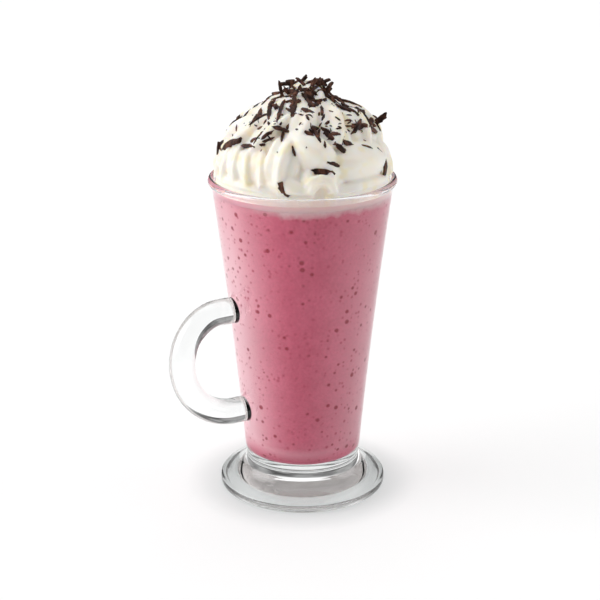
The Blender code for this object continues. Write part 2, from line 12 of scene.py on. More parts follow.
import bmesh
import bpy
from mathutils import Matrix, Vector, noise
from mathutils.bvhtree import BVHTree

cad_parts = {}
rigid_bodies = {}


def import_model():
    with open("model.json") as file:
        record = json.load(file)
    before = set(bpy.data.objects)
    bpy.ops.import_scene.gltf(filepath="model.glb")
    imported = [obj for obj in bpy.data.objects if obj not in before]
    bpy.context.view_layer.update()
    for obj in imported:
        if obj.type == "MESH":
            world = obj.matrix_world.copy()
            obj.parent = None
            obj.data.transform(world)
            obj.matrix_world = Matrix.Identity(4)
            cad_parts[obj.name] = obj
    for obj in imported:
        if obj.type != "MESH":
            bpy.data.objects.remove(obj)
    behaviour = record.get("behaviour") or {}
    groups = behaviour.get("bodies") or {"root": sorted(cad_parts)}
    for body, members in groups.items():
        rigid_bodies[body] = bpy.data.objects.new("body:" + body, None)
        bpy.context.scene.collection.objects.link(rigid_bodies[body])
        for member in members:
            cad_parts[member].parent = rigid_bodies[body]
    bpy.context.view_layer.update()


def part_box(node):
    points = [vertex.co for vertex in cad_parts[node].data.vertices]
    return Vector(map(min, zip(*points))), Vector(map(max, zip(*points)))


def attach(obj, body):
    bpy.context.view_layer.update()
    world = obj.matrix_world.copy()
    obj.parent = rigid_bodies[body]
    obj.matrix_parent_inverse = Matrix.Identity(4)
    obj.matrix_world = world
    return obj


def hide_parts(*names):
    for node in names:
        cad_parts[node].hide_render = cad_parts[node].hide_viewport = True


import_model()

# %% Sizes that the frame gives
MM = 0.001
UP = Vector((0.0, 0.0, 1.0))
glass_low, glass_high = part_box("glass")
drink_low, drink_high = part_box("drink")
cream_low, cream_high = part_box("whipped_cream")
GLASS_TOP = glass_high.z
DRINK_TOP = drink_high.z
for name, low, high in (("glass", glass_low, glass_high), ("drink", drink_low, drink_high),
                        ("cream", cream_low, cream_high)):
    print(name, "stands from", round(low.z / MM, 1), "to", round(high.z / MM, 1), "mm")

# %% [markdown]
# ## Camera
#
# The shown side is turned from the handle, so that the mug's ear stands out at the left. A long lens from
# two thirds of a metre, looking down by about twenty degrees, shows the rim as a narrow ellipse. The
# camera comes first because the shavings are laid where that side shows them.

# %% The camera
FRONT = math.radians(-118.0)          # direction of the shown side, seen from the glass's axis
EYE_DISTANCE = 680.0 * MM
EYE_HEIGHT = 330.5 * MM
EYE_PITCH = 0.3395                    # how far the camera looks down, in radians
LENS = 93.5                           # millimetres
FILM_WIDTH = 36.0                     # millimetres
PICTURE_WIDTH = 600.0                 # pixels
AXIS_SHIFT = 2.5                      # pixels by which the glass's axis stands right of the middle
front_way = Vector((math.cos(FRONT), math.sin(FRONT), 0.0))
right_way = Vector((math.cos(FRONT + math.pi / 2), math.sin(FRONT + math.pi / 2), 0.0))
eye = front_way * EYE_DISTANCE + UP * EYE_HEIGHT
lens = bpy.data.cameras.new("camera")
lens.lens = LENS
lens.sensor_width = FILM_WIDTH
lens.shift_x = -AXIS_SHIFT / PICTURE_WIDTH
camera = bpy.data.objects.new("camera", lens)
camera.location = eye
camera.rotation_euler = (math.pi / 2 - EYE_PITCH, 0.0, FRONT + math.pi / 2)
bpy.context.scene.collection.objects.link(camera)
bpy.context.scene.camera = camera
print("camera at", [round(value, 3) for value in eye])

# %% [markdown]
# ## Helpers
#
# Every piece starts as a bmesh that operators shape. When it is done it becomes a mesh object at the
# origin, so that a pattern in object coordinates sits on the real thing in metres. A turned shape is a
# line of points spun once round the axis, and a rod or a piped rope is a ring that is extruded through a
# row of frames.

# %% Helpers for objects
def piece_from(name, shape, finish=None):
    """Makes the bmesh a smooth-shaded object at the origin."""
    mesh = bpy.data.meshes.new(name)
    shape.to_mesh(mesh)
    shape.free()
    made = bpy.data.objects.new(name, mesh)
    bpy.context.scene.collection.objects.link(made)
    if finish:
        mesh.materials.append(finish)
    mesh.shade_smooth()
    return made


def apply_modifiers(made):
    """Turns what the modifiers show into the object's own mesh."""
    graph = bpy.context.evaluated_depsgraph_get()
    graph.update()
    mesh = bpy.data.meshes.new_from_object(made.evaluated_get(graph))
    made.modifiers.clear()
    old = made.data
    made.data = mesh
    bpy.data.meshes.remove(old)
    mesh.name = made.name
    mesh.shade_smooth()


def triangles(made):
    """How many triangles the object's mesh comes to."""
    return sum(len(face.vertices) - 2 for face in made.data.polygons)


print("helpers for objects: piece_from, apply_modifiers, triangles")

# %% Helpers for turned shapes
WELD = 0.002 * MM                     # points closer than this become one


def spun(profile, steps):
    """A line of (radius, height) points spun once round the Z axis, with its seam and poles closed."""
    shape = bmesh.new()
    points = [shape.verts.new((radius, 0.0, height)) for radius, height in profile]
    rungs = [shape.edges.new(pair) for pair in zip(points, points[1:])]
    bmesh.ops.spin(shape, geom=points + rungs, cent=(0.0, 0.0, 0.0), axis=UP, angle=math.tau,
                   steps=steps, use_merge=True, use_normal_flip=False, use_duplicate=False)
    bmesh.ops.remove_doubles(shape, verts=shape.verts, dist=WELD)
    bmesh.ops.recalc_face_normals(shape, faces=shape.faces)
    return shape


def arc(centre_r, centre_z, radius, start, end, steps):
    """Points (r, z) on an arc, with angles in degrees from +r towards +z."""
    turns = [math.radians(start + (end - start) * i / steps) for i in range(steps + 1)]
    return [(centre_r + radius * math.cos(t), centre_z + radius * math.sin(t)) for t in turns]


def spline(points, steps):
    """A smooth line through the points, which are vectors, with steps pieces between each two."""
    line = []
    for i in range(len(points) - 1):
        before = points[max(i - 1, 0)]
        start, end = points[i], points[i + 1]
        after = points[min(i + 2, len(points) - 1)]
        for j in range(steps):
            t = j / steps
            line.append(0.5 * (2.0 * start + (end - before) * t
                               + (2.0 * before - 5.0 * start + 4.0 * end - after) * t * t
                               + (3.0 * start - before - 3.0 * end + after) * t * t * t))
    return line + [points[-1]]


print("a quarter arc in 8 steps has", len(arc(0.0, 0.0, 1.0, 0.0, 90.0, 8)), "points")

# %% Helpers for rods and ropes
def ring(shape, segments, radius):
    """A ring of edges round the local Z axis."""
    verts = bmesh.ops.create_circle(shape, segments=segments, radius=radius, cap_ends=False)["verts"]
    return verts, list({edge for vert in verts for edge in vert.link_edges})


def add_to(shape, part):
    """Adds a finished bmesh to another one. Small parts are much quicker to shape on their own."""
    carrier = bpy.data.meshes.new("carrier")
    part.to_mesh(carrier)
    part.free()
    shape.from_mesh(carrier)
    bpy.data.meshes.remove(carrier)


def drawn(shape, verts, edges, frames):
    """Extrudes a ring through the frames and closes both ends. Returns the rings' points in order."""
    bmesh.ops.transform(shape, matrix=frames[0], verts=verts)
    bmesh.ops.contextual_create(shape, geom=edges)
    rings = [verts]
    for before, after in zip(frames, frames[1:]):
        grown = bmesh.ops.extrude_edge_only(shape, edges=edges)["geom"]
        verts = [item for item in grown if isinstance(item, bmesh.types.BMVert)]
        new = set(verts)
        edges = [item for item in grown if isinstance(item, bmesh.types.BMEdge)
                 and item.verts[0] in new and item.verts[1] in new]
        bmesh.ops.transform(shape, matrix=after @ before.inverted(), verts=verts)
        rings.append(verts)
    bmesh.ops.contextual_create(shape, geom=edges)
    return rings


def axes_frame(place, across, side, along, size=1.0):
    """A frame whose X, Y and Z run across, sideways and along, scaled by size across and sideways."""
    turn = Matrix((across, side, along)).transposed().to_4x4()
    return Matrix.Translation(place) @ turn @ Matrix.Diagonal((size, size, 1.0, 1.0))


print("helpers for rods and ropes: ring, add_to, drawn, axes_frame")

# %% [markdown]
# A finish is a material whose Principled shader is fed by a few nodes. These helpers make one node each
# and link what they are given to it, so that a finish reads as a recipe, from top to bottom.

# %% Helpers for finishes
WHITE = (1.0, 1.0, 1.0)


def finish(name, **values):
    """A new material with a Principled shader that holds the plain values. Returns material and shader."""
    made = bpy.data.materials.new(name)
    made.use_nodes = True
    shader = made.node_tree.nodes["Principled BSDF"]
    for socket, value in values.items():
        shader.inputs[socket.replace("_", " ")].default_value = value
    return made, shader


def node(tree, kind, x, y, **values):
    """A node at a place in the tree, with the values set on its sockets or on the node."""
    made = tree.nodes.new(kind)
    made.location = (x, y)
    for key, value in values.items():
        socket = made.inputs.get(key.replace("_", " "))
        if socket is not None:
            socket.default_value = value
        else:
            setattr(made, key, value)
    return made


def ramp(tree, x, y, factor, stops, smooth="LINEAR"):
    """A colour ramp node fed by factor, with stops of (place, colour)."""
    made = node(tree, "ShaderNodeValToRGB", x, y)
    band = made.color_ramp
    band.interpolation = smooth
    while len(band.elements) < len(stops):
        band.elements.new(0.5)
    for element, (place, colour) in zip(band.elements, stops):
        element.position = place
        element.color = (*colour, 1.0)
    tree.links.new(factor, made.inputs["Fac"])
    return made.outputs["Color"]


def maths(tree, x, y, operation, first, second=0.0, clamp=False):
    """A Math node. Each of its two inputs is a socket or a number."""
    made = node(tree, "ShaderNodeMath", x, y, operation=operation, use_clamp=clamp)
    for socket, value in zip(made.inputs, (first, second)):
        if isinstance(value, bpy.types.NodeSocket):
            tree.links.new(value, socket)
        else:
            socket.default_value = value
    return made.outputs["Value"]


def mixed(tree, x, y, factor, first, second, blend="MIX"):
    """A colour mix. The factor and both colours are sockets or plain values."""
    made = node(tree, "ShaderNodeMix", x, y, data_type="RGBA", blend_type=blend)
    for name, value in (("Factor_Float", factor), ("A_Color", first), ("B_Color", second)):
        socket = next(item for item in made.inputs if item.identifier == name)
        if isinstance(value, bpy.types.NodeSocket):
            tree.links.new(value, socket)
        else:
            socket.default_value = value if isinstance(value, float) else (*value, 1.0)
    return next(item for item in made.outputs if item.identifier == "Result_Color")


print("helpers for finishes: finish, node, ramp, maths, mixed")

# %% [markdown]
# ## A node group for unevenness
#
# Nothing here is perfectly even: pressed glass has soft waves, the drink has clouds, cream has fine
# bubbles and chocolate has streaks. One node group makes them all from layered noise in object
# coordinates, so each finish only states its own size and stretch.

# %% The unevenness group
def make_uneven_group():
    group = bpy.data.node_groups.new("unevenness", "ShaderNodeTree")
    for name, plain in (("Scale", 100.0), ("Detail", 3.0), ("Roughness", 0.5)):
        group.interface.new_socket(name, in_out="INPUT", socket_type="NodeSocketFloat").default_value = plain
    stretch = group.interface.new_socket("Stretch", in_out="INPUT", socket_type="NodeSocketVector")
    stretch.default_value = (1.0, 1.0, 1.0)
    group.interface.new_socket("Value", in_out="OUTPUT", socket_type="NodeSocketFloat")
    given = node(group, "NodeGroupInput", -700, 0)
    place = node(group, "ShaderNodeTexCoord", -700, -250)
    stretched = node(group, "ShaderNodeVectorMath", -450, -100, operation="MULTIPLY")
    clouds = node(group, "ShaderNodeTexNoise", -200, 0)
    result = node(group, "NodeGroupOutput", 100, 0)
    group.links.new(place.outputs["Object"], stretched.inputs[0])
    group.links.new(given.outputs["Stretch"], stretched.inputs[1])
    group.links.new(stretched.outputs["Vector"], clouds.inputs["Vector"])
    for name in ("Scale", "Detail", "Roughness"):
        group.links.new(given.outputs[name], clouds.inputs[name])
    group.links.new(clouds.outputs["Fac"], result.inputs["Value"])
    return group


uneven_group = make_uneven_group()


def unevenness(tree, x, y, scale, detail=3.0, roughness=0.5, stretch=(1.0, 1.0, 1.0)):
    """Places the unevenness group in a material and returns its value, from 0 to 1 around 0.5."""
    made = node(tree, "ShaderNodeGroup", x, y, node_tree=uneven_group)
    for name, value in (("Scale", scale), ("Detail", detail), ("Roughness", roughness)):
        made.inputs[name].default_value = value
    made.inputs["Stretch"].default_value = stretch
    return made.outputs["Value"]


def bumped(tree, shader, height, strength, depth):
    """Feeds a height to the shader's normal. Depth is in metres."""
    bump = node(tree, "ShaderNodeBump", -250, -400, Strength=strength, Distance=depth)
    tree.links.new(height, bump.inputs["Height"])
    tree.links.new(bump.outputs["Normal"], shader.inputs["Normal"])


print("unevenness group has", len(uneven_group.nodes), "nodes")

# %% [markdown]
# ## A node group for changes along a direction
#
# Some colours change with the place alone: the drink turns to froth at a height, the cream is stained
# below another, and both changes are deeper at one side. The second node group measures how far a point
# lies along a direction and spreads that between two values. What is added to the distance, such as
# some noise, makes the edge of the change ragged.

# %% The spread group
def make_spread_group():
    group = bpy.data.node_groups.new("spread_along", "ShaderNodeTree")
    along = group.interface.new_socket("Direction", in_out="INPUT", socket_type="NodeSocketVector")
    along.default_value = UP
    for name, plain in (("Added", 0.0), ("Start", 0.0), ("End", 1.0), ("Low", 0.0), ("High", 1.0)):
        group.interface.new_socket(name, in_out="INPUT", socket_type="NodeSocketFloat").default_value = plain
    group.interface.new_socket("Value", in_out="OUTPUT", socket_type="NodeSocketFloat")
    given = node(group, "NodeGroupInput", -900, -200)
    place = node(group, "ShaderNodeTexCoord", -900, 100)
    distance = node(group, "ShaderNodeVectorMath", -650, 0, operation="DOT_PRODUCT")
    between = node(group, "ShaderNodeMapRange", -150, 0)
    result = node(group, "NodeGroupOutput", 100, 0)
    group.links.new(place.outputs["Object"], distance.inputs[0])
    group.links.new(given.outputs["Direction"], distance.inputs[1])
    total = maths(group, -400, 0, "ADD", distance.outputs["Value"], given.outputs["Added"])
    group.links.new(total, between.inputs["Value"])
    for name, socket in (("Start", "From Min"), ("End", "From Max"), ("Low", "To Min"), ("High", "To Max")):
        group.links.new(given.outputs[name], between.inputs[socket])
    group.links.new(between.outputs["Result"], result.inputs["Value"])
    return group


spread_group = make_spread_group()


def spread(tree, x, y, start, end, low=0.0, high=1.0, direction=UP, added=None):
    """A value that goes from low to high between two distances in metres along a direction."""
    made = node(tree, "ShaderNodeGroup", x, y, node_tree=spread_group)
    for name, value in (("Start", start), ("End", end), ("Low", low), ("High", high)):
        made.inputs[name].default_value = value
    made.inputs["Direction"].default_value = direction
    if added is not None:
        tree.links.new(added, made.inputs["Added"])
    return made.outputs["Value"]


print("spread group has", len(spread_group.nodes), "nodes")

# %% [markdown]
# ## The glass
#
# The mug is pressed glass: a thick foot, a wall that flares towards a rounded rim, and a round rod bent
# into a handle. The body is one outline spun round the axis. The outline runs up the inside, over the rim
# and down the outside, so that the wall has two true faces and light bends in it as in real glass. Under
# the foot it ends in a narrow standing ring and a shallow hollow. Such a ring keeps a glass from rocking,
# and it draws the bright band and the dark lines in the foot, which a flat underside doesn't.

# %% Driving sizes of the glass
WALL = 2.5 * MM
WALL_BOTTOM_Z = 20.0 * MM
WALL_BOTTOM_RADIUS = 27.2 * MM
WALL_SLOPE = 0.085
WALL_FLARE = 0.194
BEAD_RADIUS = 1.7 * MM
RIM_RADIUS = 42.7 * MM
FLOOR_Z = 17.0 * MM
FLOOR_CORNER = 11.0 * MM
CORNER_BLEND = 3.0 * MM               # how far above the floor's corner the wall's own curve starts
INSIDE_TOP = 146.0 * MM               # here the wall's inside ends and the rim's bead starts
OUTSIDE_TOP = 146.2 * MM              # and here its outside
FOOT_LINE = [                         # shoulder, waist and flare of the foot: radius and height in mm
    (27.2, 20.0), (26.75, 17.8), (26.4, 15.5), (26.8, 13.4), (28.0, 10.6), (30.0, 8.4), (32.8, 6.7),
    (36.0, 5.4), (37.8, 4.55),
]
FOOT_RADIUS = 39.0 * MM
FOOT_EDGE = 4.6 * MM
FOOT_ROUNDING = 1.6 * MM
RING_WIDTH = 1.2 * MM                 # of the flat ring that the foot stands on
HOLLOW_RISE = 1.2 * MM                # of the shallow hollow inside that ring
GLASS_STEPS = 160


def wall_radius(z):
    """Outer radius of the side wall at the height z."""
    rise = z - WALL_BOTTOM_Z
    return WALL_BOTTOM_RADIUS + WALL_SLOPE * rise + WALL_FLARE * rise * rise


def heights(low, high, steps):
    """Evenly spaced heights from low to high, both included."""
    return [low + (high - low) * i / steps for i in range(steps + 1)]


print("the wall's outer radius grows to", round(wall_radius(OUTSIDE_TOP) / MM, 1), "mm")

# %% The glass's outline
def cup_profile(grow, top):
    """The inside of the cup from the middle of its floor up to the height top, moved out by grow."""
    corner_z = FLOOR_Z + FLOOR_CORNER
    corner_r = wall_radius(corner_z) - WALL - FLOOR_CORNER
    points = [(0.0, FLOOR_Z - grow)]
    points += [(corner_r * share, FLOOR_Z - grow) for share in (0.3, 0.6, 0.85)]
    points += arc(corner_r, corner_z, FLOOR_CORNER + grow, -90.0, -6.0, 14)
    return points + [(wall_radius(z) - WALL + grow, z) for z in heights(corner_z + CORNER_BLEND, top, 30)]


def foot_profile():
    """The outside from the shoulder down over the waist and the flare to the middle of the base."""
    line = [tuple(point) for point in spline([Vector(point) * MM for point in FOOT_LINE], 5)]
    edge_r = FOOT_RADIUS - FOOT_ROUNDING
    edge = arc(edge_r, FOOT_EDGE - FOOT_ROUNDING, FOOT_ROUNDING, 68.0, 0.0, 7)
    under = arc(edge_r, FOOT_ROUNDING, FOOT_ROUNDING, 0.0, -90.0, 7)
    standing = arc(edge_r - RING_WIDTH, FOOT_ROUNDING, FOOT_ROUNDING, -90.0, -150.0, 5)
    inner_r, inner_z = standing[-1]
    hollow = [(inner_r * share, inner_z + HOLLOW_RISE * (1.0 - share * share))
              for share in (0.8, 0.6, 0.4, 0.2, 0.0)]
    return line + edge + under + standing + hollow


def glass_profile():
    """The whole outline: up the inside, over the rim's bead, down the side and under the foot."""
    bead = arc(RIM_RADIUS - BEAD_RADIUS, GLASS_TOP - BEAD_RADIUS, BEAD_RADIUS, 190.0, -50.0, 24)
    side = [(wall_radius(z), z) for z in heights(OUTSIDE_TOP, WALL_BOTTOM_Z, 34)][:-1]
    return cup_profile(0.0, INSIDE_TOP) + bead + side + foot_profile()


glass = piece_from("glass_body", spun(glass_profile(), GLASS_STEPS))
print("glass body:", triangles(glass), "triangles")

# %% [markdown]
# The handle is a ring of edges extruded along a bent line. Where it meets the wall the rod spreads in a
# small fillet that follows the wall's curve, as hot glass does when the handle is stuck on. A Boolean
# union then makes body and handle one skin, because a face left inside the glass would show.

# %% The handle's line
ROD_RADIUS = 6.0 * MM
HANDLE_TOP_Z = 91.5 * MM
HANDLE_LOW_Z = 42.2 * MM
HANDLE_MID_Z = 69.0 * MM
HANDLE_REACH = 61.3 * MM
TOP_BEND_START = 42.0 * MM
LOW_BEND_START = 36.0 * MM
QUARTER = 0.5523                      # pull of a Bezier quarter circle, as a share of its radius


def bezier(start, pull_out, pull_in, end, steps):
    """Points on a Bezier curve with their directions, without the last one."""
    line = []
    for i in range(steps):
        t = i / steps
        s = 1.0 - t
        point = start * s ** 3 + pull_out * 3 * s * s * t + pull_in * 3 * s * t * t + end * t ** 3
        way = (pull_out - start) * s * s + (pull_in - pull_out) * 2 * s * t + (end - pull_in) * t * t
        line.append((point, way.normalized()))
    return line


def handle_line():
    """The rod's centre line in the XZ plane, between the straight stubs at the wall."""
    top = Vector((-TOP_BEND_START, 0.0, HANDLE_TOP_Z))
    far = Vector((-HANDLE_REACH, 0.0, HANDLE_MID_Z))
    low = Vector((-LOW_BEND_START, 0.0, HANDLE_LOW_Z))
    top_pull = Vector((-(HANDLE_REACH - TOP_BEND_START) * QUARTER, 0.0, 0.0))
    low_pull = Vector((-(HANDLE_REACH - LOW_BEND_START) * QUARTER, 0.0, 0.0))
    up_pull = UP * (HANDLE_TOP_Z - HANDLE_MID_Z) * QUARTER
    down_pull = UP * (HANDLE_MID_Z - HANDLE_LOW_Z) * QUARTER
    line = bezier(top, top + top_pull, far + up_pull, far, 22)
    line += bezier(far, far - down_pull, low + low_pull, low, 26)
    return line + [(low, Vector((1.0, 0.0, 0.0)))]


print("the handle's line has", len(handle_line()), "points")

# %% The handle's rod
FILLET = 1.5 * MM
FILLET_RINGS = (0.0, 0.06, 0.14, 0.25, 0.4, 0.6, 0.8, 1.0)    # shares of the fillet, closest at the wall
ROOT_DEPTH = 1.4 * MM                 # how far the rod's ends reach into the wall
ROD_SEGMENTS = 48


def rod_frame(point, way):
    """A frame on the rod's line, whose Y runs across the plane in which the rod bends."""
    side = Vector((0.0, 1.0, 0.0))
    return axes_frame(point, side.cross(way), side, way)


def fillet_growth(distance):
    """How much the rod's radius grows at a distance from the wall."""
    if distance >= FILLET:
        return 0.0
    rest = FILLET - max(distance, 0.0)
    return FILLET - math.sqrt(max(FILLET * FILLET - rest * rest, 0.0))


def hug_wall(rings, distances, height):
    """Shapes the rings of one stub so that each keeps its distance from the curved wall."""
    for points, distance in zip(rings, distances):
        growth = 1.0 + fillet_growth(distance) / ROD_RADIUS
        for vert in points:
            off = (vert.co.z - height) * growth
            side = vert.co.y * growth
            wall = wall_radius(height + off)
            vert.co = (-math.sqrt(wall * wall - side * side) - distance, side, height + off)


def make_handle():
    """The rod with the straight stubs and the fillets at both ends."""
    shape = bmesh.new()
    verts, edges = ring(shape, ROD_SEGMENTS, ROD_RADIUS)
    outward = Vector((-1.0, 0.0, 0.0))
    distances = [-ROOT_DEPTH] + [FILLET * share for share in FILLET_RINGS]
    top = [(outward * (wall_radius(HANDLE_TOP_Z) + far) + UP * HANDLE_TOP_Z, outward) for far in distances]
    low = [(outward * (wall_radius(HANDLE_LOW_Z) + far) + UP * HANDLE_LOW_Z, -outward) for far in distances]
    frames = [rod_frame(point, way) for point, way in top + handle_line() + low[::-1]]
    rings = drawn(shape, verts, edges, frames)
    hug_wall(rings[:len(distances)], distances, HANDLE_TOP_Z)
    hug_wall(rings[:-len(distances) - 1:-1], distances, HANDLE_LOW_Z)
    bmesh.ops.recalc_face_normals(shape, faces=shape.faces)
    return shape


rod = piece_from("handle_rod", make_handle())
print("handle:", triangles(rod), "triangles")

# %% Joining it to the body
join = glass.modifiers.new("handle", "BOOLEAN")
join.operation = "UNION"
join.solver = "MANIFOLD"
join.object = rod
apply_modifiers(glass)
bpy.data.objects.remove(rod)
print("glass with its handle:", triangles(glass), "triangles")

# %% [markdown]
# Clear glass bends and mirrors light and has next to no colour of its own. A very faint wave in its normal
# stands for the unevenness of a pressed wall. For rays on their way to a lamp the wall is simply clear, so
# that the drink and the cream behind it get their light without a long search for it. The thick foot
# takes some of that light, which lays its soft shadow on the table.

# %% The glass's finish
GLASS_COLOUR = (0.985, 0.992, 0.99)
FOOT_SHADE_Z = 14.0 * MM              # up to here the glass keeps some light off the table
FOOT_SHADE_FADE = 4.0 * MM            # the height over which that fades out
FOOT_SHADE = (0.40, 0.40, 0.40)       # what the foot lets through
WALL_SHADE = (0.97, 0.98, 0.98)       # and the wall


def glass_finish():
    made, shader = finish("clear_glass", Base_Color=(*GLASS_COLOUR, 1.0), Roughness=0.0, IOR=1.50,
                          Transmission_Weight=1.0)
    tree = made.node_tree
    waves = unevenness(tree, -500, -400, scale=55.0, detail=1.0)
    bumped(tree, shader, waves, strength=0.25, depth=0.4 * MM)
    place = node(tree, "ShaderNodeTexCoord", -700, 700)
    split = node(tree, "ShaderNodeSeparateXYZ", -500, 700)
    tree.links.new(place.outputs["Object"], split.inputs["Vector"])
    high = node(tree, "ShaderNodeMapRange", -300, 700, From_Min=FOOT_SHADE_Z - FOOT_SHADE_FADE,
                From_Max=FOOT_SHADE_Z)
    tree.links.new(split.outputs["Z"], high.inputs["Value"])
    shade = mixed(tree, -100, 600, high.outputs["Result"], FOOT_SHADE, WALL_SHADE)
    clear = node(tree, "ShaderNodeBsdfTransparent", 100, 300)
    tree.links.new(shade, clear.inputs["Color"])
    path = node(tree, "ShaderNodeLightPath", -250, 450)
    either = node(tree, "ShaderNodeMixShader", 350, 150)
    output = tree.nodes["Material Output"]
    tree.links.new(path.outputs["Is Shadow Ray"], either.inputs["Fac"])
    tree.links.new(shader.outputs["BSDF"], either.inputs[1])
    tree.links.new(clear.outputs["BSDF"], either.inputs[2])
    tree.links.new(either.outputs["Shader"], output.inputs["Surface"])
    return made


glass.data.materials.clear()
glass.data.materials.append(glass_finish())
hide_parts("glass")
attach(glass, "root")
print("clear glass has", len(glass.data.materials[0].node_tree.nodes), "nodes")

# %% [markdown]
# ## The drink
#
# The drink fills the cup, so its skin is the cup's inside spun again, a touch larger than the hollow. That
# touch matters: where the drink reaches just into the wall there is no thin layer of air, and the glass
# shows it wet. Its top lies hidden under the cream.

# %% The drink's body
WETTING = 0.15 * MM                   # how far the drink reaches into the wall
DRINK_STEPS = 96

lid = [(wall_radius(DRINK_TOP) * share, DRINK_TOP) for share in (0.8, 0.4, 0.0)]
drink = piece_from("drink_body", spun(cup_profile(WETTING, DRINK_TOP) + lid, DRINK_STEPS))
drink.data.set_sharp_from_angle(angle=math.radians(40.0))
print("drink:", triangles(drink), "triangles")

# %% [markdown]
# A blended berry drink is a pale rose with clouds in it and a grain of fine bubbles. Where its skin turns
# away from the eye a painted sheen makes it paler, which stands for light that comes back out of it near
# the edge. The painted sheen is strongest on the side of the main light, and weaker in the shade at the
# bottom and under the cream.

# %% The drink's own colour
ROSE = (0.63, 0.091, 0.170)
LIGHT_ROSE = (0.705, 0.118, 0.210)
GRAIN_GREY = (0.90, 0.84, 0.87)


def rose_clouds(tree):
    """Slow clouds between two roses, with a fine grain on them."""
    clouds = unevenness(tree, -1500, 500, scale=60.0, detail=4.0, roughness=0.6)
    colour = ramp(tree, -1200, 500, clouds, [(0.35, ROSE), (0.65, LIGHT_ROSE)])
    grain = unevenness(tree, -1500, 250, scale=900.0, detail=2.0)
    pale = ramp(tree, -1200, 250, grain, [(0.4, GRAIN_GREY), (0.62, WHITE)])
    return mixed(tree, -900, 400, 1.0, colour, pale, blend="MULTIPLY")


print("the drink is", ROSE, "to", LIGHT_ROSE)

# %% Its painted sheen at the sides
SHEEN_ROSE = (0.92, 0.52, 0.585)
SLANTS = (0.05, 0.22)                 # how far the skin turns away where the painted sheen starts, and is strongest
SIDES_LOW = (FLOOR_Z + 2.0 * MM, FLOOR_Z + 11.0 * MM)          # over these heights the painted sheen grows, as the light at the bottom is weaker
SIDES_HIGH = (112.0 * MM, DRINK_TOP)  # and over these it fades again, as the light under the cream is weaker
HIGH_SHARE = 0.72                     # the painted sheen that is left at the top
LIT_SIDE = (30.0 * MM, -30.0 * MM)    # from the dim side to the lit one, to the right of the axis
DIM_SHARE = 0.38                      # the painted sheen on the dim side


def painted_sheen_sides(tree, colour):
    """Paints a sheen where the skin turns away from the eye: a painted highlight, strongest on the lit side.
    """
    facing = node(tree, "ShaderNodeLayerWeight", -1500, 800, Blend=0.5)
    slant = node(tree, "ShaderNodeMapRange", -1200, 800, From_Min=SLANTS[0], From_Max=SLANTS[1])
    tree.links.new(facing.outputs["Facing"], slant.inputs["Value"])
    low = spread(tree, -1200, 1050, *SIDES_LOW)
    high = spread(tree, -1200, 1250, *SIDES_HIGH, low=1.0, high=HIGH_SHARE)
    lit = spread(tree, -1200, 1450, *LIT_SIDE, low=DIM_SHARE, high=1.0, direction=right_way)
    # painted sheen: the drink is paler at its edges, on the lit side and away from the shaded bottom and top
    sheen = slant.outputs["Result"]
    for i, share in enumerate((low, high, lit)):
        sheen = maths(tree, -1000 + 150 * i, 900 + 100 * i, "MULTIPLY", sheen, share)
    return mixed(tree, -500, 700, sheen, colour, SHEEN_ROSE)


print("palest sides:", SHEEN_ROSE)

# %% [markdown]
# The blend carries the skins and pips of the fruit. Voronoi cells give these flecks: each cell has a
# point, and the surface is dark where it passes close to one. Because the cells fill space, a fleck that
# lies deeper shows smaller, and some don't show at all. Two sizes are used, a few dark ones and many
# faint ones.

# %% Flecks in the drink
FLECK_CELL = 4.4 * MM
FLECK_RADIUS = 1.4 * MM
FAINT_CELL = 2.3 * MM
FAINT_RADIUS = 1.0 * MM
FLECK_EDGE = 0.5 * MM                 # over which a fleck fades out
LEAST_FLECK = 0.45                    # the smallest fleck, as a share of the radius
DARK_RED = (0.34, 0.006, 0.03)
FAINT_RED = (0.48, 0.035, 0.09)


def flecks(tree, x, y, cell, radius, share):
    """A mask that is 1 in flecks of a radius, in a share of the cells of a size."""
    place = node(tree, "ShaderNodeTexCoord", x, y)
    cells = node(tree, "ShaderNodeTexVoronoi", x + 200, y, Scale=1.0 / cell, Randomness=1.0)
    tree.links.new(place.outputs["Object"], cells.inputs["Vector"])
    far = maths(tree, x + 400, y, "MULTIPLY", cells.outputs["Distance"], cell)
    split = node(tree, "ShaderNodeSeparateColor", x + 400, y - 200)
    tree.links.new(cells.outputs["Color"], split.inputs["Color"])
    kept = maths(tree, x + 600, y - 200, "LESS_THAN", split.outputs["Red"], share)
    size = node(tree, "ShaderNodeMapRange", x + 600, y - 400, To_Min=LEAST_FLECK * radius, To_Max=radius)
    tree.links.new(split.outputs["Green"], size.inputs["Value"])
    inside = maths(tree, x + 800, y, "SUBTRACT", size.outputs["Result"], far)
    soft = maths(tree, x + 1000, y, "DIVIDE", inside, FLECK_EDGE, clamp=True)
    return maths(tree, x + 1200, y, "MULTIPLY", soft, kept)


def flecked(tree, colour):
    """The colour with faint flecks in it, and dark ones over them."""
    faint = flecks(tree, -2600, 0, FAINT_CELL, FAINT_RADIUS, 0.55)
    colour = mixed(tree, -700, 300, maths(tree, -900, 100, "MULTIPLY", faint, 0.7), colour, FAINT_RED)
    dark = flecks(tree, -2600, -600, FLECK_CELL, FLECK_RADIUS, 0.6)
    return mixed(tree, -500, 200, maths(tree, -700, -100, "MULTIPLY", dark, 0.9), colour, DARK_RED)


print("flecks of up to", round(FLECK_RADIUS / MM, 1), "and", round(FAINT_RADIUS / MM, 1), "mm radius")

# %% [markdown]
# Just under the cream the drink turns to froth, with a ragged lower edge and more of it at the right. And
# clear glass repeats the drink's colour wherever it mirrors or bends light twice, in the foot and the
# handle above all. On the real one those stay clear. So light that comes by way of a mirror image, or has
# been bent more than once, finds the drink grey.

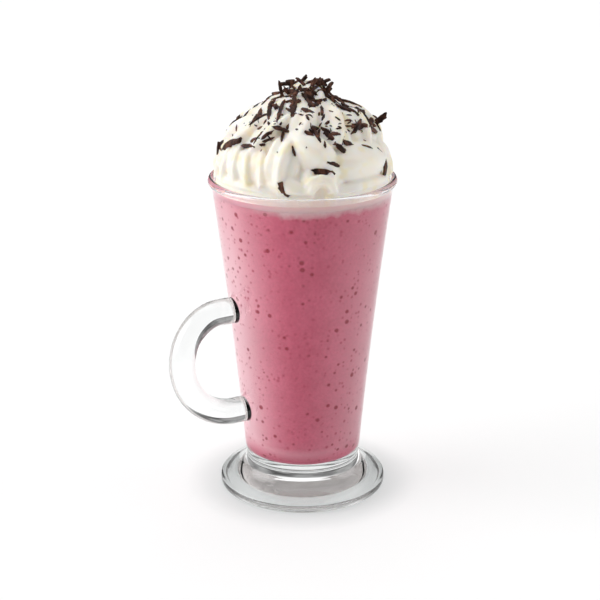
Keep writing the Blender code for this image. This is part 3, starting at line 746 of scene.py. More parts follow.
# %% Froth and echoes
FROTH_Z = 143.2 * MM                  # height of the froth's lower edge
FROTH_FADE = (FROTH_Z - 2.8 * MM, FROTH_Z + 0.7 * MM)
FROTH_RAGGED = 6.0 * MM               # how far noise moves that edge up and down
DEEP_SIDE = (-28.0 * MM, -8.0 * MM)   # from none to all of the froth, to the right of the axis
FROTH_PINK = (0.78, 0.50, 0.52)
ECHO_GREY = (0.68, 0.66, 0.645)
ECHO_SHARE = 0.95                     # how grey an echo is


def frothed(tree, colour):
    """The colour with froth over it near the top."""
    ragged = unevenness(tree, -1500, -500, scale=180.0, detail=4.0, roughness=0.6)
    uneven = maths(tree, -1300, -500, "SUBTRACT", ragged, 0.5)
    edge = maths(tree, -1100, -500, "MULTIPLY", uneven, FROTH_RAGGED)
    froth = spread(tree, -900, -400, *FROTH_FADE, added=edge)
    deep = spread(tree, -900, -700, *DEEP_SIDE, direction=right_way)
    return mixed(tree, -250, 100, maths(tree, -450, -500, "MULTIPLY", froth, deep), colour, FROTH_PINK)


def greyed_echoes(tree, colour):
    """The colour, grey for rays that were mirrored or have been bent more than once."""
    path = node(tree, "ShaderNodeLightPath", -250, 350)
    bent = maths(tree, -250, 500, "GREATER_THAN", path.outputs["Transmission Depth"], 1.5)
    stray = maths(tree, -50, 450, "MAXIMUM", bent, path.outputs["Is Reflection Ray"])
    return mixed(tree, 150, 200, maths(tree, 50, 350, "MULTIPLY", stray, ECHO_SHARE), colour, ECHO_GREY)


print("froth from", round(FROTH_Z / MM, 1), "mm up")

# %% The drink's finish
def drink_finish():
    made, shader = finish("berry_drink", Roughness=0.5, IOR=1.38, Specular_IOR_Level=0.2)
    tree = made.node_tree
    colour = rose_clouds(tree)
    colour = painted_sheen_sides(tree, colour)
    colour = flecked(tree, colour)
    colour = frothed(tree, colour)
    colour = greyed_echoes(tree, colour)
    tree.links.new(colour, shader.inputs["Base Color"])
    return made


drink.data.materials.append(drink_finish())
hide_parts("drink")
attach(drink, "root")
print("berry drink has", len(drink.data.materials[0].node_tree.nodes), "nodes")

# %% [markdown]
# ## The cream
#
# Piped cream keeps the print of the star nozzle: each squeeze is a rope with soft ridges that twists as
# it is laid and is drawn off to a point. The heap is a plain core with ropes laid on it. All of them are
# closed skins that run into each other, so a voxel Remesh melts them into one, which also rounds the
# creases between them as real cream does.

# %% The heap's outline
CREAM_RADIUS = 41.5 * MM
CREAM_HEIGHT = 41.0 * MM
CREAM_POWER = 2.0                     # 2 makes the outline a quarter ellipse
CREAM_LEAN = 2.4 * MM                 # how far the top leans to the right
CORE_DEPTH = 7.5 * MM                 # how far the plain core lies under the outline
CORE_SINK = 2.0 * MM                  # how far it reaches into the drink
CORE_RIM = 1.0 * MM                   # and how far below the rim it starts to round
CORE_RINGS = 20


def heap_point(turn, z, depth=0.0):
    """A point at a depth under the heap's smooth outline, and the outward direction there.

    turn is in degrees from the shown side, positive to the right."""
    share = min(max((z - GLASS_TOP) / CREAM_HEIGHT, 0.0), 0.999)
    radius = CREAM_RADIUS * (1.0 - share ** CREAM_POWER) ** (1.0 / CREAM_POWER)
    fall = CREAM_RADIUS / CREAM_HEIGHT * (share / max(radius / CREAM_RADIUS, 0.02)) ** (CREAM_POWER - 1.0)
    tilt = math.atan(fall)
    angle = FRONT + math.radians(turn)
    side = Vector((math.cos(angle), math.sin(angle), 0.0))
    outward = side * math.cos(tilt) + UP * math.sin(tilt)
    point = side * radius + UP * z + right_way * CREAM_LEAN * share ** 2
    return point - outward * depth, outward


def core_profile():
    """The core's outline from its foot in the glass up to its top."""
    points = [(0.0, DRINK_TOP - CORE_SINK), (wall_radius(GLASS_TOP) - WALL, DRINK_TOP - CORE_SINK),
              (wall_radius(GLASS_TOP) - WALL, GLASS_TOP - CORE_RIM)]
    for i in range(CORE_RINGS + 1):
        share = math.sin(math.radians(90.0 * i / CORE_RINGS)) ** 1.2
        radius = (CREAM_RADIUS - CORE_DEPTH) * max(1.0 - share ** CREAM_POWER, 0.0) ** (1.0 / CREAM_POWER)
        points.append((radius, GLASS_TOP + (CREAM_HEIGHT - 0.3 * CORE_DEPTH) * share))
    points[-1] = (0.0, points[-1][1])
    return points


print("the heap rises", round(CREAM_HEIGHT / MM, 1), "mm over the rim")

# %% A line that a rope follows
def b_spline(points, share):
    """The point at a share of a cubic B-spline that starts and ends at the outer control points."""
    degree = 3
    spans = len(points) - degree
    knots = [0.0] * degree + [float(i) for i in range(spans + 1)] + [float(spans)] * degree
    t = min(share * spans, spans - 1e-6)
    k = degree + int(t)
    work = [points[k - degree + j] for j in range(degree + 1)]
    for r in range(1, degree + 1):
        for j in range(degree, r - 1, -1):
            low = knots[k - degree + j]
            high = knots[k + 1 + j - r]
            blend = (t - low) / (high - low)
            work[j] = work[j - 1] * (1.0 - blend) + work[j] * blend
    return work[degree]


print("halfway along a straight line:", b_spline([0.0, 1.0, 2.0, 3.0, 4.0], 0.5))

# %% Piped ropes
LOBES = 5                             # ridges of the star nozzle
STAR_DEPTH = 0.24                     # depth of its grooves, as a share of the radius
STAR_POINTS = 9                       # points of the section for each ridge
ROPE_STEPS = 6                        # sections of a rope for each stretch of its path
FOOT_SIZE = 0.85                      # a rope's size at its foot, as a share of its radius
TIP_SIZE = 0.45                       # and at its tip
PETAL_PLACES = (0.0, 0.25, 0.55, 0.8, 1.0)


def star_ring(shape, radius, lobes, depth):
    """The star nozzle's outline as a ring of edges."""
    verts, edges = ring(shape, lobes * STAR_POINTS, radius)
    for vert in verts:
        angle = math.atan2(vert.co.y, vert.co.x)
        vert.co *= 1.0 - depth * (0.5 - 0.5 * math.cos(lobes * angle))
    return verts, edges


def rope(shape, path, outward, radius, twist, swell=None, lobes=LOBES, depth=STAR_DEPTH):
    """Pipes a rope along the path: a ridged ring that swells, turns by twist degrees and tapers off."""
    swell = swell or [FOOT_SIZE] + [1.0] * (len(path) - 2) + [TIP_SIZE]
    count = ROPE_STEPS * (len(path) - 1)
    line = [b_spline(path, i / count) for i in range(count + 1)]
    sizes = [b_spline(swell, i / count) for i in range(count + 1)]
    frames = []
    for i, place in enumerate(line):
        along = (line[min(i + 1, count)] - line[max(i - 1, 0)]).normalized()
        across = (outward - along * outward.dot(along)).normalized()
        across.rotate(Matrix.Rotation(math.radians(twist) * i / count, 3, along))
        frames.append(axes_frame(place, across, along.cross(across), along, sizes[i]))
    strand = bmesh.new()
    verts, edges = star_ring(strand, radius, lobes, depth)
    drawn(strand, verts, edges, frames)
    bmesh.ops.recalc_face_normals(strand, faces=strand.faces)
    add_to(shape, strand)


def petal(shape, foot, head, radius, twist):
    """One short rope up the heap's side, from foot to head, each a turn in degrees and a height."""
    path = []
    for share in PETAL_PLACES:
        turn = foot[0] + (head[0] - foot[0]) * share
        z = foot[1] + (head[1] - foot[1]) * share
        path.append(heap_point(turn, z, radius * (0.97 + 0.3 * abs(share - 0.4)))[0])
    outward = heap_point((foot[0] + head[0]) / 2, (foot[1] + head[1]) / 2)[1]
    rope(shape, path, outward, radius, twist)


print("a rope's section has", LOBES * STAR_POINTS, "points")

# %% [markdown]
# Where the ropes lie makes the heap's character. Petals run up its side all round. On the shown side,
# ropes along routes of their own make what catches the eye there: a smooth roll at the right, a fold over
# the middle, a shell beside it, ruffles at the left and a small hooked curl at the rim.

# %% Where the petals lie
# Turn (degrees) and height over the rim (mm) at the foot, the same at the head, radius (mm) and twist
# (degrees).
PETALS = [
    (-99, -4, -92, 22, 7.6, 50),
    (-80, -4, -78, 21, 6.8, 60),
    (88, -4, 80, 22, 8.6, 20),
    (2, -4, 4, 15, 7.2, 10),
    (18, -4, 16, 18, 7.6, 10),
    (-98, 15, -76, 37, 9.2, 50),
    (-70, 17, -50, 37, 9.2, 40),
    (-42, 18, -24, 38, 8.2, 30),
    (-8, 22, 6, 40, 8.0, 30),
    (26, 22, 38, 40, 8.2, 30),
    (58, 20, 70, 38, 8.4, 30),
    (88, 18, 98, 38, 8.0, 30),
]
print("petals of the shown side:", len(PETALS))

# %% Where the routes lie
# Ropes along a route: radius (mm), twist (degrees), groove depth as a share of the radius, ridges, and
# the route's points as turn, height over the rim (mm) and depth under the heap's outline (mm).
ROUTES = [
    # the smooth roll at the right and the band under it
    (9.4, 10, 0.10, 5, [(20, 16, 10.5), (33, 14.5, 8), (50, 13.5, 7.5), (68, 13, 8), (88, 12, 10)]),
    (4.8, 60, 0.20, 5, [(20, 0, 5), (34, 1, 4.6), (48, 2, 4.6), (62, 2, 4.6), (78, 1, 5)]),
    # the fold that sweeps down to the right over the middle
    (8.2, 20, 0.10, 5, [(-12, 28, 10), (-3, 24, 7), (6, 20.5, 6.2), (14, 17, 6.2), (25, 11, 8)]),
    # the shell left of the middle and the fold under it
    (8.4, 12, 0.22, 6, [(-15, 2, 9), (-16, 9, 6.2), (-15, 16, 5.8), (-14, 22, 7), (-12, 27, 10)]),
    (5.6, 30, 0.12, 5, [(-24, 7, 6.5), (-15, 6.5, 5), (-7, 4.5, 4.6), (0, 1.5, 4.8), (5, -3, 6)]),
    # ruffles at the left and the band under them
    (5.6, 50, 0.30, 4, [(-27, 5, 5.5), (-29, 10, 4.6), (-32, 15, 4.6), (-35, 20, 6)]),
    (5.6, 50, 0.30, 4, [(-38, 4, 5.5), (-40, 9, 4.6), (-44, 14, 4.6), (-48, 19, 6)]),
    (5.6, 60, 0.30, 4, [(-50, 4, 5.5), (-52, 9, 4.6), (-56, 14, 4.6), (-61, 19, 6)]),
    (5.8, 60, 0.30, 4, [(-63, 3, 5.5), (-65, 8, 4.6), (-68, 13, 4.6), (-73, 18, 6)]),
    (4.6, 80, 0.22, 5, [(-86, 1, 5), (-66, 1.5, 4.4), (-46, 1.5, 4.4), (-28, 1.5, 4.4), (-12, -1, 5.5)]),
    # the small hooked curl at the rim, just right of the middle
    (3.2, 40, 0.30, 5, [(2, -1, 3.5), (4, 6, 1.5), (11, 9.5, 0.6), (18, 7, 1), (21, -1, 2.5)]),
]
print("ropes along a route:", len(ROUTES))

# %% The hidden side and the peak
BACK_SEED = 11
BACK_TURNS = (108.0, 246.0)           # the hidden side's petals lie between these turns
BACK_ROWS = [(8, -4.0, 22.0, 8.2), (4, 17.0, 37.0, 8.6)]      # count, foot, head and radius, in mm
BACK_LEAN = 8.0                       # how far a petal's head is turned from its foot, in degrees
BACK_TWIST = 50
PEAK_RADIUS = 14.0 * MM
PEAK_TWIST = 110
PEAK_LOBES = 6
PEAK_SWELL = [1.0, 1.15, 1.0, 0.72, 0.3]
PEAK_PATH = [(15.0, 0.3), (25.0, 0.7), (33.0, 1.2), (39.0, 1.6), (42.0, 2.0)]     # height, share of the lean


def pipe_back(shape):
    """The hidden side's petals, in two rows."""
    jitter = random.Random(BACK_SEED)
    for count, low, high, radius in BACK_ROWS:
        for i in range(count):
            turn = BACK_TURNS[0] + (BACK_TURNS[1] - BACK_TURNS[0]) * i / (count - 1)
            size = radius * jitter.uniform(0.9, 1.08) * MM
            foot = (turn + jitter.uniform(-3, 3), GLASS_TOP + low * MM)
            head = (turn - BACK_LEAN, GLASS_TOP + (high + jitter.uniform(-1, 1)) * MM)
            petal(shape, foot, head, size, BACK_TWIST)


def pipe_peak(shape):
    """The last twist of cream on top, drawn up to a soft point."""
    lean = right_way * CREAM_LEAN
    path = [lean * share + UP * (GLASS_TOP + z * MM) for z, share in PEAK_PATH]
    rope(shape, path, front_way, PEAK_RADIUS, PEAK_TWIST, PEAK_SWELL, PEAK_LOBES)


print("petals of the hidden side:", sum(row[0] for row in BACK_ROWS))

# %% Piping it all
ROUTE_FOOT_SIZE = 0.75
ROUTE_TIP_SIZE = 0.6


def pipe_route(shape, radius, twist, groove, lobes, route):
    """A rope that follows a route over the heap."""
    path = [heap_point(turn, GLASS_TOP + z * MM, depth * MM)[0] for turn, z, depth in route]
    middle = route[len(route) // 2]
    outward = heap_point(middle[0], GLASS_TOP + middle[1] * MM)[1]
    swell = [ROUTE_FOOT_SIZE] + [1.0] * (len(route) - 2) + [ROUTE_TIP_SIZE]
    rope(shape, path, outward, radius * MM, twist, swell, lobes, groove)


def pipe_all():
    """The core with every rope on it, as one mesh of closed skins."""
    shape = spun(core_profile(), 64)
    for turn0, z0, turn1, z1, radius, twist in PETALS:
        petal(shape, (turn0, GLASS_TOP + z0 * MM), (turn1, GLASS_TOP + z1 * MM), radius * MM, twist)
    for radius, twist, groove, lobes, route in ROUTES:
        pipe_route(shape, radius, twist, groove, lobes, route)
    pipe_back(shape)
    pipe_peak(shape)
    return shape


cream = piece_from("cream", pipe_all())
print("piped:", triangles(cream), "triangles before melting")

# %% Melting the ropes together
CREAM_VOXEL = 0.62 * MM
melt = cream.modifiers.new("melt", "REMESH")
melt.mode = "VOXEL"
melt.voxel_size = CREAM_VOXEL
soften = cream.modifiers.new("soften", "SMOOTH")
soften.factor = 0.5
soften.iterations = 3
apply_modifiers(cream)
print("melted:", triangles(cream), "triangles")

# %% [markdown]
# Two things happen to the melted heap. Inside the glass the cream is pressed flat against the wall, so
# every point that would pass the wall is drawn back to it. And cream is never as smooth as a rope of
# plastic: slow noise swells and dents the ropes a little, and fine noise roughens them.

# %% Pressing and roughening the cream
BEAD_DEPTH = 3.2 * MM                 # below the rim by this much, the wall's own inside is the limit
BEAD_GAP = 0.2 * MM                   # what the cream keeps from the rim's bead
RIM_CLEAR = 1.0 * MM                  # from this height over the rim on it may bulge out
BULGE = 1.4                           # how fast it does
SLOW_NOISE, SLOW_SWELL = 160.0, 0.35  # pattern size (per metre) and height (mm) of the slow dents
FINE_NOISE, FINE_SWELL = 520.0, 0.10
CREAM_SINK = 0.1 * MM                 # how far the cream reaches into the drink


def room_radius(z):
    """How far from the axis cream may reach at a height."""
    if z < GLASS_TOP - BEAD_DEPTH:
        return wall_radius(z) - WALL + WETTING
    if z < GLASS_TOP + RIM_CLEAR:
        return RIM_RADIUS - 2.0 * BEAD_RADIUS - BEAD_GAP
    return RIM_RADIUS - 2.0 * BEAD_RADIUS - BEAD_GAP + BULGE * (z - GLASS_TOP - RIM_CLEAR)


def press_and_roughen(made):
    """Dents the heap with noise, then draws back what passes the wall or sinks into the drink."""
    shape = bmesh.new()
    shape.from_mesh(made.data)
    for vert in shape.verts:
        place = vert.co
        swell = noise.noise(place * SLOW_NOISE) * SLOW_SWELL * MM
        swell += noise.noise(place * FINE_NOISE) * FINE_SWELL * MM
        if place.z > DRINK_TOP:
            vert.co = place + vert.normal * swell
    for vert in shape.verts:
        vert.co.z = max(vert.co.z, DRINK_TOP - CREAM_SINK)
        reach = math.hypot(vert.co.x, vert.co.y)
        room = room_radius(vert.co.z)
        if reach > room:
            vert.co.x *= room / reach
            vert.co.y *= room / reach
    bmesh.ops.recalc_face_normals(shape, faces=shape.faces)
    shape.to_mesh(made.data)
    shape.free()
    made.data.shade_smooth()


press_and_roughen(cream)
print("cream reaches", round(max(vert.co.z for vert in cream.data.vertices) / MM, 1), "mm")

# %% [markdown]
# Cream scatters light under its surface, which fills its creases with a warm glow, so it gets subsurface
# scattering with a slightly larger radius for red. It has soft clouds of two creamy whites, yellow
# patches of painted warm glow, which stand for light bounced in its creases but lie where slow noise puts
# them, and near the drink it has taken up some of its pink.

# %% The cream's finish
CREAM_SHADE = (0.98, 0.85, 0.75)
CREAM_LIGHT = (0.985, 0.89, 0.81)
WARM_GLOW_CREAM = (0.97, 0.80, 0.48)
STAIN_EDGE = (GLASS_TOP - 1.6 * MM, GLASS_TOP - 3.4 * MM)     # where the stain starts, and is full
STAIN_DARK = (0.76, 0.32, 0.40)
STAIN_PALE = (0.83, 0.54, 0.54)       # on the side where the froth is deep


def cream_finish():
    made, shader = finish("whipped_cream", Roughness=0.42, IOR=1.40, Subsurface_Weight=0.9,
                          Subsurface_Scale=2.5 * MM, Subsurface_Radius=(1.0, 0.85, 0.6))
    tree = made.node_tree
    clouds = unevenness(tree, -1000, 400, scale=90.0, detail=2.0)
    colour = ramp(tree, -750, 400, clouds, [(0.35, CREAM_SHADE), (0.6, CREAM_LIGHT)])
    # painted warm glow: yellow patches that stand for bounced light, placed by slow noise
    glow_patches = unevenness(tree, -1000, 700, scale=150.0, detail=1.0)
    warm_glow = node(tree, "ShaderNodeMapRange", -750, 700, From_Min=0.56, From_Max=0.70, To_Max=0.5)
    tree.links.new(glow_patches, warm_glow.inputs["Value"])
    colour = mixed(tree, -550, 500, warm_glow.outputs["Result"], colour, WARM_GLOW_CREAM)
    deep = spread(tree, -800, -150, *DEEP_SIDE, direction=right_way)
    tint = mixed(tree, -500, -150, deep, STAIN_DARK, STAIN_PALE)
    colour = mixed(tree, -400, 300, spread(tree, -600, 0, *STAIN_EDGE), colour, tint)
    tree.links.new(colour, shader.inputs["Base Color"])
    bubbles = unevenness(tree, -800, -400, scale=1100.0, detail=3.0, roughness=0.6)
    bumped(tree, shader, bubbles, strength=0.35, depth=0.15 * MM)
    return made


cream.data.materials.append(cream_finish())
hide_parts("whipped_cream")
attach(cream, "root")
print("whipped cream has", len(cream.data.materials[0].node_tree.nodes), "nodes")

# %% [markdown]
# ## The chocolate shavings
#
# Shavings are strewn from above, so they heap up at the peak and slide down the flanks. On the shown side
# they lie in bands, thickest at the peak, and a few broad ones lie apart. A band is a stretch between
# two places with a number of shavings, their sizes, and the way most of them point. Seeded draws then
# place each one, which is less work than laying them by hand and can be changed by one number.

# %% Where the large shavings lie
# The places are as seen from the front, to the right of the axis and above the rim. Directions are in
# degrees, and all else is in millimetres.
SHAVING_BANDS = [
    # count, from, to, stray, direction, turned by up to, lengths, widths
    (12, (-8, 42), (11, 43), 1.6, 10, 60, (3.0, 6.0), (0.8, 1.5)),       # standing up at the peak
    (15, (-9, 37), (12, 38), 2.8, 60, 80, (3.0, 6.5), (0.9, 2.4)),       # the thick of the pile
    (7, (-7, 31), (9, 31), 2.2, 0, 90, (2.0, 6.5), (1.0, 2.4)),          # under the pile
    (8, (12, 37), (21, 27), 2.0, -50, 40, (3.0, 9.0), (0.9, 1.6)),       # down the right flank
    (9, (22, 22), (34, 24), 2.6, 15, 55, (2.5, 8.0), (1.0, 2.3)),        # the right shoulder
    (12, (2, 22), (20, 13), 2.4, -32, 35, (3.0, 8.0), (0.9, 2.2)),       # across the front
    (7, (-11, 31), (-26, 25), 2.2, 55, 30, (3.0, 11.0), (1.0, 1.9)),     # down the left flank
    (10, (-9, 21), (-24, 13), 2.6, 45, 65, (2.0, 8.0), (0.8, 1.4)),      # the left shoulder
    (12, (-22, 24), (24, 24), 4.0, 0, 90, (1.4, 3.4), (0.6, 1.2)),       # slivers between them
]
# The place of each one that lies apart, its length, its direction and its width.
LONE_SHAVINGS = [
    ((9, 2), 9, -5, 3.4),
    ((14, 5), 6, -15, 1.6),
    ((-8, -7), 8, -45, 2.8),
    ((35.5, 6), 13, -75, 2.2),
    ((-32, 14), 10, 35, 2.6),
    ((-38, 12), 6, 85, 1.2),
    ((29, 13), 5, -15, 1.0),
    ((-4, 11), 5, -75, 0.8),
]
print(len(SHAVING_BANDS), "bands and", len(LONE_SHAVINGS), "lone shavings")

# %% Filling the bands
BAND_SEED = 11
EVEN_STEP = 0.618                     # the golden ratio, which spreads any number of places evenly


def shown_shavings():
    """Both ends and the width of each shaving on the shown side, in mm, the longest of a band first."""
    draw = random.Random(BAND_SEED)
    chosen = [(x, z, length, direction, width) for (x, z), length, direction, width in LONE_SHAVINGS]
    for count, (x0, z0), (x1, z1), stray, direction, turned, lengths, widths in SHAVING_BANDS:
        for i in range(count):
            share = (i * EVEN_STEP + draw.uniform(0.0, 1.0 / count)) % 1.0
            x = x0 + (x1 - x0) * share + draw.uniform(-stray, stray)
            z = z0 + (z1 - z0) * share + draw.uniform(-stray, stray)
            length = lengths[1] - (lengths[1] - lengths[0]) * i / count
            chosen.append((x, z, length, direction + draw.uniform(-turned, turned), draw.uniform(*widths)))
    ends = []
    for x, z, length, direction, width in chosen:
        half_x = length / 2 * math.cos(math.radians(direction))
        half_z = length / 2 * math.sin(math.radians(direction))
        ends.append((x - half_x, z - half_z, x + half_x, z + half_z, width))
    return ends


print("large shavings:", len(shown_shavings()))

# %% [markdown]
# A shaving is a thin curled strip with torn edges. Each starts as a small grid. It is torn along its edges,
# curled across, bowed along its length and twisted, and then gets its thickness. Broad ones have ridges
# along their length, which the blade leaves.

# %% One shaving
THICKNESS = 0.8 * MM
THICKNESSES = (0.8, 1.35)             # its range, as shares
SETTLE = 0.15 * MM                    # how far a shaving's middle plane lies above the cream
GRID_STEP = 0.8 * MM
LEAST_STEPS, MOST_STEPS = 4, 14
WIDE = 1.6 * MM                       # from this width on a shaving shows ridges along its length
RIDGE = 0.16                          # their height in mm
CURLS = (0.1, 0.35)                   # from here on: shares of the width
SHIFT = 0.07
TORN_END = 0.25
NARROWINGS = (0.82, 1.12)
TAPERS = (0.15, 0.3, 0.3, 0.8)        # how much an end narrows
TWIST = 0.4


def shaving(shape, start, end, outward, width, bow, draw):
    """Adds one curled, torn strip between two places to the bmesh."""
    length = (end - start).length
    along = (end - start).normalized()
    across = outward.cross(along).normalized()
    normal = along.cross(across).normalized()
    count = max(LEAST_STEPS, min(MOST_STEPS, round(length / GRID_STEP)))
    columns = 4 if width > WIDE else 2
    chip = bmesh.new()
    grid = bmesh.ops.create_grid(chip, x_segments=count, y_segments=columns, size=0.5)["verts"]
    curl = draw.uniform(*CURLS) * width
    twist = draw.uniform(-TWIST, TWIST)
    lean = draw.uniform(-TWIST, TWIST)
    tapers = [draw.choice(TAPERS) for _ in range(2)]
    ridges = {}
    rows = {}
    for vert in grid:
        rows.setdefault(round(vert.co.x, 4), []).append(vert)
        ridges.setdefault(round(vert.co.y, 4), draw.uniform(-RIDGE, RIDGE) * MM if columns > 2 else 0.0)
    for share, row in rows.items():
        taper = tapers[share > 0.0]
        narrow = (1.0 - taper * abs(2.0 * share) ** 4) * draw.uniform(*NARROWINGS)
        shift = draw.uniform(-SHIFT, SHIFT) * width
        for vert in row:
            side = vert.co.y
            x = (share + lean * side * width / max(length, width)) * length
            x += draw.uniform(-TORN_END, TORN_END) * width if abs(share) > 0.49 else 0.0
            y = side * width * narrow + shift
            z = bow * (1.0 - 4.0 * share * share) - curl * 4.0 * side * side + twist * share * y
            vert.co = (x, y, z + ridges[round(side, 4)])
    bmesh.ops.solidify(chip, geom=chip.faces[:], thickness=THICKNESS * draw.uniform(*THICKNESSES))
    lie = Matrix((along, across, normal)).transposed().to_4x4()
    lie.translation = (start + end) / 2 + outward * SETTLE
    bmesh.ops.transform(chip, matrix=lie, verts=chip.verts)
    bmesh.ops.recalc_face_normals(chip, faces=chip.faces)
    add_to(shape, chip)


print("a shaving is", round(THICKNESS / MM, 1), "mm thick, more or less")

# %% [markdown]
# A shaving has to rest on the cream from every side, not only from the front. So a ray from the eye finds
# the cream under each end of a large one, and it bows outward as far as the bump between them asks. One
# that stands out over the peak stays in the line of sight and is drawn near the pile.

# %% What the eye's lines meet
PILE = 2.2 * MM                       # how high the shavings lie on each other round the peak
surface = BVHTree.FromObject(cream, bpy.context.evaluated_depsgraph_get())


def sight(right_mm, rise_mm):
    """The eye's line through a place over the axis: its direction, how far it runs, and what it meets."""
    aim = right_way * right_mm * MM + UP * (GLASS_TOP + rise_mm * MM)
    way = (aim - eye).normalized()
    hit = surface.ray_cast(eye, way)[0]
    return way, ((hit or aim) - eye).length, hit is not None


def seen_line(x0, z0, x1, z1):
    """Both ends of a shaving on the cream. An end that juts out past the heap keeps its partner's depth."""
    start_way, start_reach, start_hit = sight(x0, z0)
    end_way, end_reach, end_hit = sight(x1, z1)
    if start_hit and not end_hit:
        end_reach = start_reach
    if end_hit and not start_hit:
        start_reach = end_reach
    start = eye + start_way * start_reach
    end = eye + end_way * end_reach
    if not start_hit and not end_hit:
        middle = (start + end) / 2
        shift = surface.find_nearest(middle)[0] - middle
        shift *= max(0.0, 1.0 - PILE / shift.length)
        start, end = start + shift, end + shift
    return start, end


print("straight ahead the eye meets the cream:", sight(0.0, 0.5 * CREAM_HEIGHT / MM)[2])

# %% Laying one on the cream
BUMP_REACH = 8.0 * MM                 # how far above and below a shaving the cream is looked for
BUMP_STEPS = 8
MOST_BOW = 0.14                       # the largest bow, as a share of the length
LOOSE_BOW = 0.04                      # the bow that is drawn on top


def heap_outward(place):
    """The heap's outward direction at a place on it."""
    turn = math.degrees(math.atan2(place.y, place.x) - FRONT)
    return heap_point(turn, min(max(place.z, GLASS_TOP), GLASS_TOP + 0.97 * CREAM_HEIGHT))[1]


def bow_over(start, end, outward):
    """How far a shaving has to bow outward at its middle to lie over the bump between its ends."""
    bow = 0.0
    for i in range(1, BUMP_STEPS):
        share = i / BUMP_STEPS
        place = start.lerp(end, share)
        hit = surface.ray_cast(place + outward * BUMP_REACH, -outward, 2.0 * BUMP_REACH)[0]
        if hit:
            bow = max(bow, (hit - place).dot(outward) / (4.0 * share * (1.0 - share)))
    return min(bow, MOST_BOW * (end - start).length)


def lay(shape, start, end, width, draw):
    """Adds a shaving between two places, bowed over what lies between them."""
    outward = heap_outward((start + end) / 2)
    bow = bow_over(start, end, outward) + draw.uniform(0.0, LOOSE_BOW) * (end - start).length
    shaving(shape, start, end, outward, width, bow, draw)


print("a shaving bows by", MOST_BOW, "of its length at most")

# %% Scattering the rest
DROP_REACH = 12.0 * MM
SCATTERS = [
    # count, turns, heights over the rim, lengths, widths, lift: turns in degrees, all else in mm
    (60, (75.0, 275.0), (4.0, 38.0), (3.6, 12.0), (0.9, 2.6), 0.0),          # large ones over the back
    (80, (-180.0, 180.0), (35.5, 40.5), (2.0, 5.5), (0.9, 2.2), 1.2),        # the pile round the peak
    (30, (-70.0, 60.0), (22.0, 36.0), (1.2, 3.5), (0.6, 1.4), 0.0),          # slivers on the shown side
    (60, (75.0, 275.0), (10.0, 40.0), (1.5, 5.0), (0.6, 1.4), 0.0),          # slivers over the back
    (70, (-180.0, 180.0), (14.0, 40.0), (0.5, 1.2), (0.4, 0.9), 0.0),        # crumbs all round
]


def drop(place, outward):
    """The point of the cream under a place, along the heap's outward direction."""
    return surface.ray_cast(place + outward * DROP_REACH, -outward, 2.0 * DROP_REACH)[0] or place


def scatter(shape, draw, count, turns, rises, lengths, widths, lift):
    """Lays count shavings at random on a stretch of the heap, each end lifted by up to lift."""
    for _ in range(count):
        turn = draw.uniform(*turns)
        rise = rises[0] + (rises[1] - rises[0]) * draw.random() ** 0.6
        middle, outward = heap_point(turn, GLASS_TOP + rise * MM)
        tangent = outward.cross(UP).normalized()
        slope = draw.uniform(0.0, math.pi)
        along = tangent * math.cos(slope) + outward.cross(tangent) * math.sin(slope)
        half = along * draw.uniform(*lengths) * MM / 2
        ends = []
        for side in (-half, half):
            ends.append(drop(middle + side, outward) + outward * draw.uniform(0.0, lift) * MM)
        lay(shape, ends[0], ends[1], draw.uniform(*widths) * MM, draw)


print("scattered shavings:", sum(row[0] for row in SCATTERS))

# %% All the shavings
SHAVING_SEED = 7
LEAST_WIDTH = 0.25                    # added to each large one's width, in mm
WIDTH_GROWTH = 1.15                   # a curled strip looks narrower than it is


def make_shavings():
    """The large shavings of the shown side, and all that is scattered."""
    shape = bmesh.new()
    draw = random.Random(SHAVING_SEED)
    for x0, z0, x1, z1, width in shown_shavings():
        start, end = seen_line(x0, z0, x1, z1)
        lay(shape, start, end, (LEAST_WIDTH + WIDTH_GROWTH * width) * MM, draw)
    for count, turns, rises, lengths, widths, lift in SCATTERS:
        scatter(shape, draw, count, turns, rises, lengths, widths, lift)
    return shape


shavings = piece_from("chocolate_shavings", make_shavings())
shavings.data.set_sharp_from_angle(angle=math.radians(45.0))
print("shavings:", triangles(shavings), "triangles")

# %% [markdown]
# Dark chocolate is nearly black where it is thick, and a warm brown where the blade has scraped it dull.
# Noise mixes both, and a fine bump breaks the shine. The patterns are drawn out in height, so that they
# look like streaks and scrapes rather than spots.

# %% The chocolate's finish
DARK_BROWN = (0.014, 0.005, 0.003)
BROWN = (0.048, 0.017, 0.010)
SCRAPED_BROWN = (0.17, 0.068, 0.040)
SHINY = (0.35, 0.35, 0.35)            # roughness where it is dark
DULL = (0.62, 0.62, 0.62)             # and where it is scraped
ALONG_STREAKS = (1.0, 1.0, 0.45)
ALONG_SCRAPES = (1.0, 1.0, 0.4)


def chocolate_finish():
    made, shader = finish("dark_chocolate", IOR=1.46, Specular_IOR_Level=0.25)
    tree = made.node_tree
    streaks = unevenness(tree, -900, 300, scale=420.0, detail=3.0, roughness=0.6, stretch=ALONG_STREAKS)
    colour = ramp(tree, -600, 300, streaks, [(0.34, DARK_BROWN), (0.50, BROWN), (0.68, SCRAPED_BROWN)])
    tree.links.new(colour, shader.inputs["Base Color"])
    dull = ramp(tree, -600, 0, streaks, [(0.3, SHINY), (0.7, DULL)])
    tree.links.new(dull, shader.inputs["Roughness"])
    scrapes = unevenness(tree, -900, -350, scale=1500.0, detail=2.0, stretch=ALONG_SCRAPES)
    bumped(tree, shader, scrapes, strength=0.6, depth=0.12 * MM)
    return made


shavings.data.materials.append(chocolate_finish())
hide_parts("whipped_cream")
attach(shavings, "root")
print("dark chocolate has", len(shavings.data.materials[0].node_tree.nodes), "nodes")
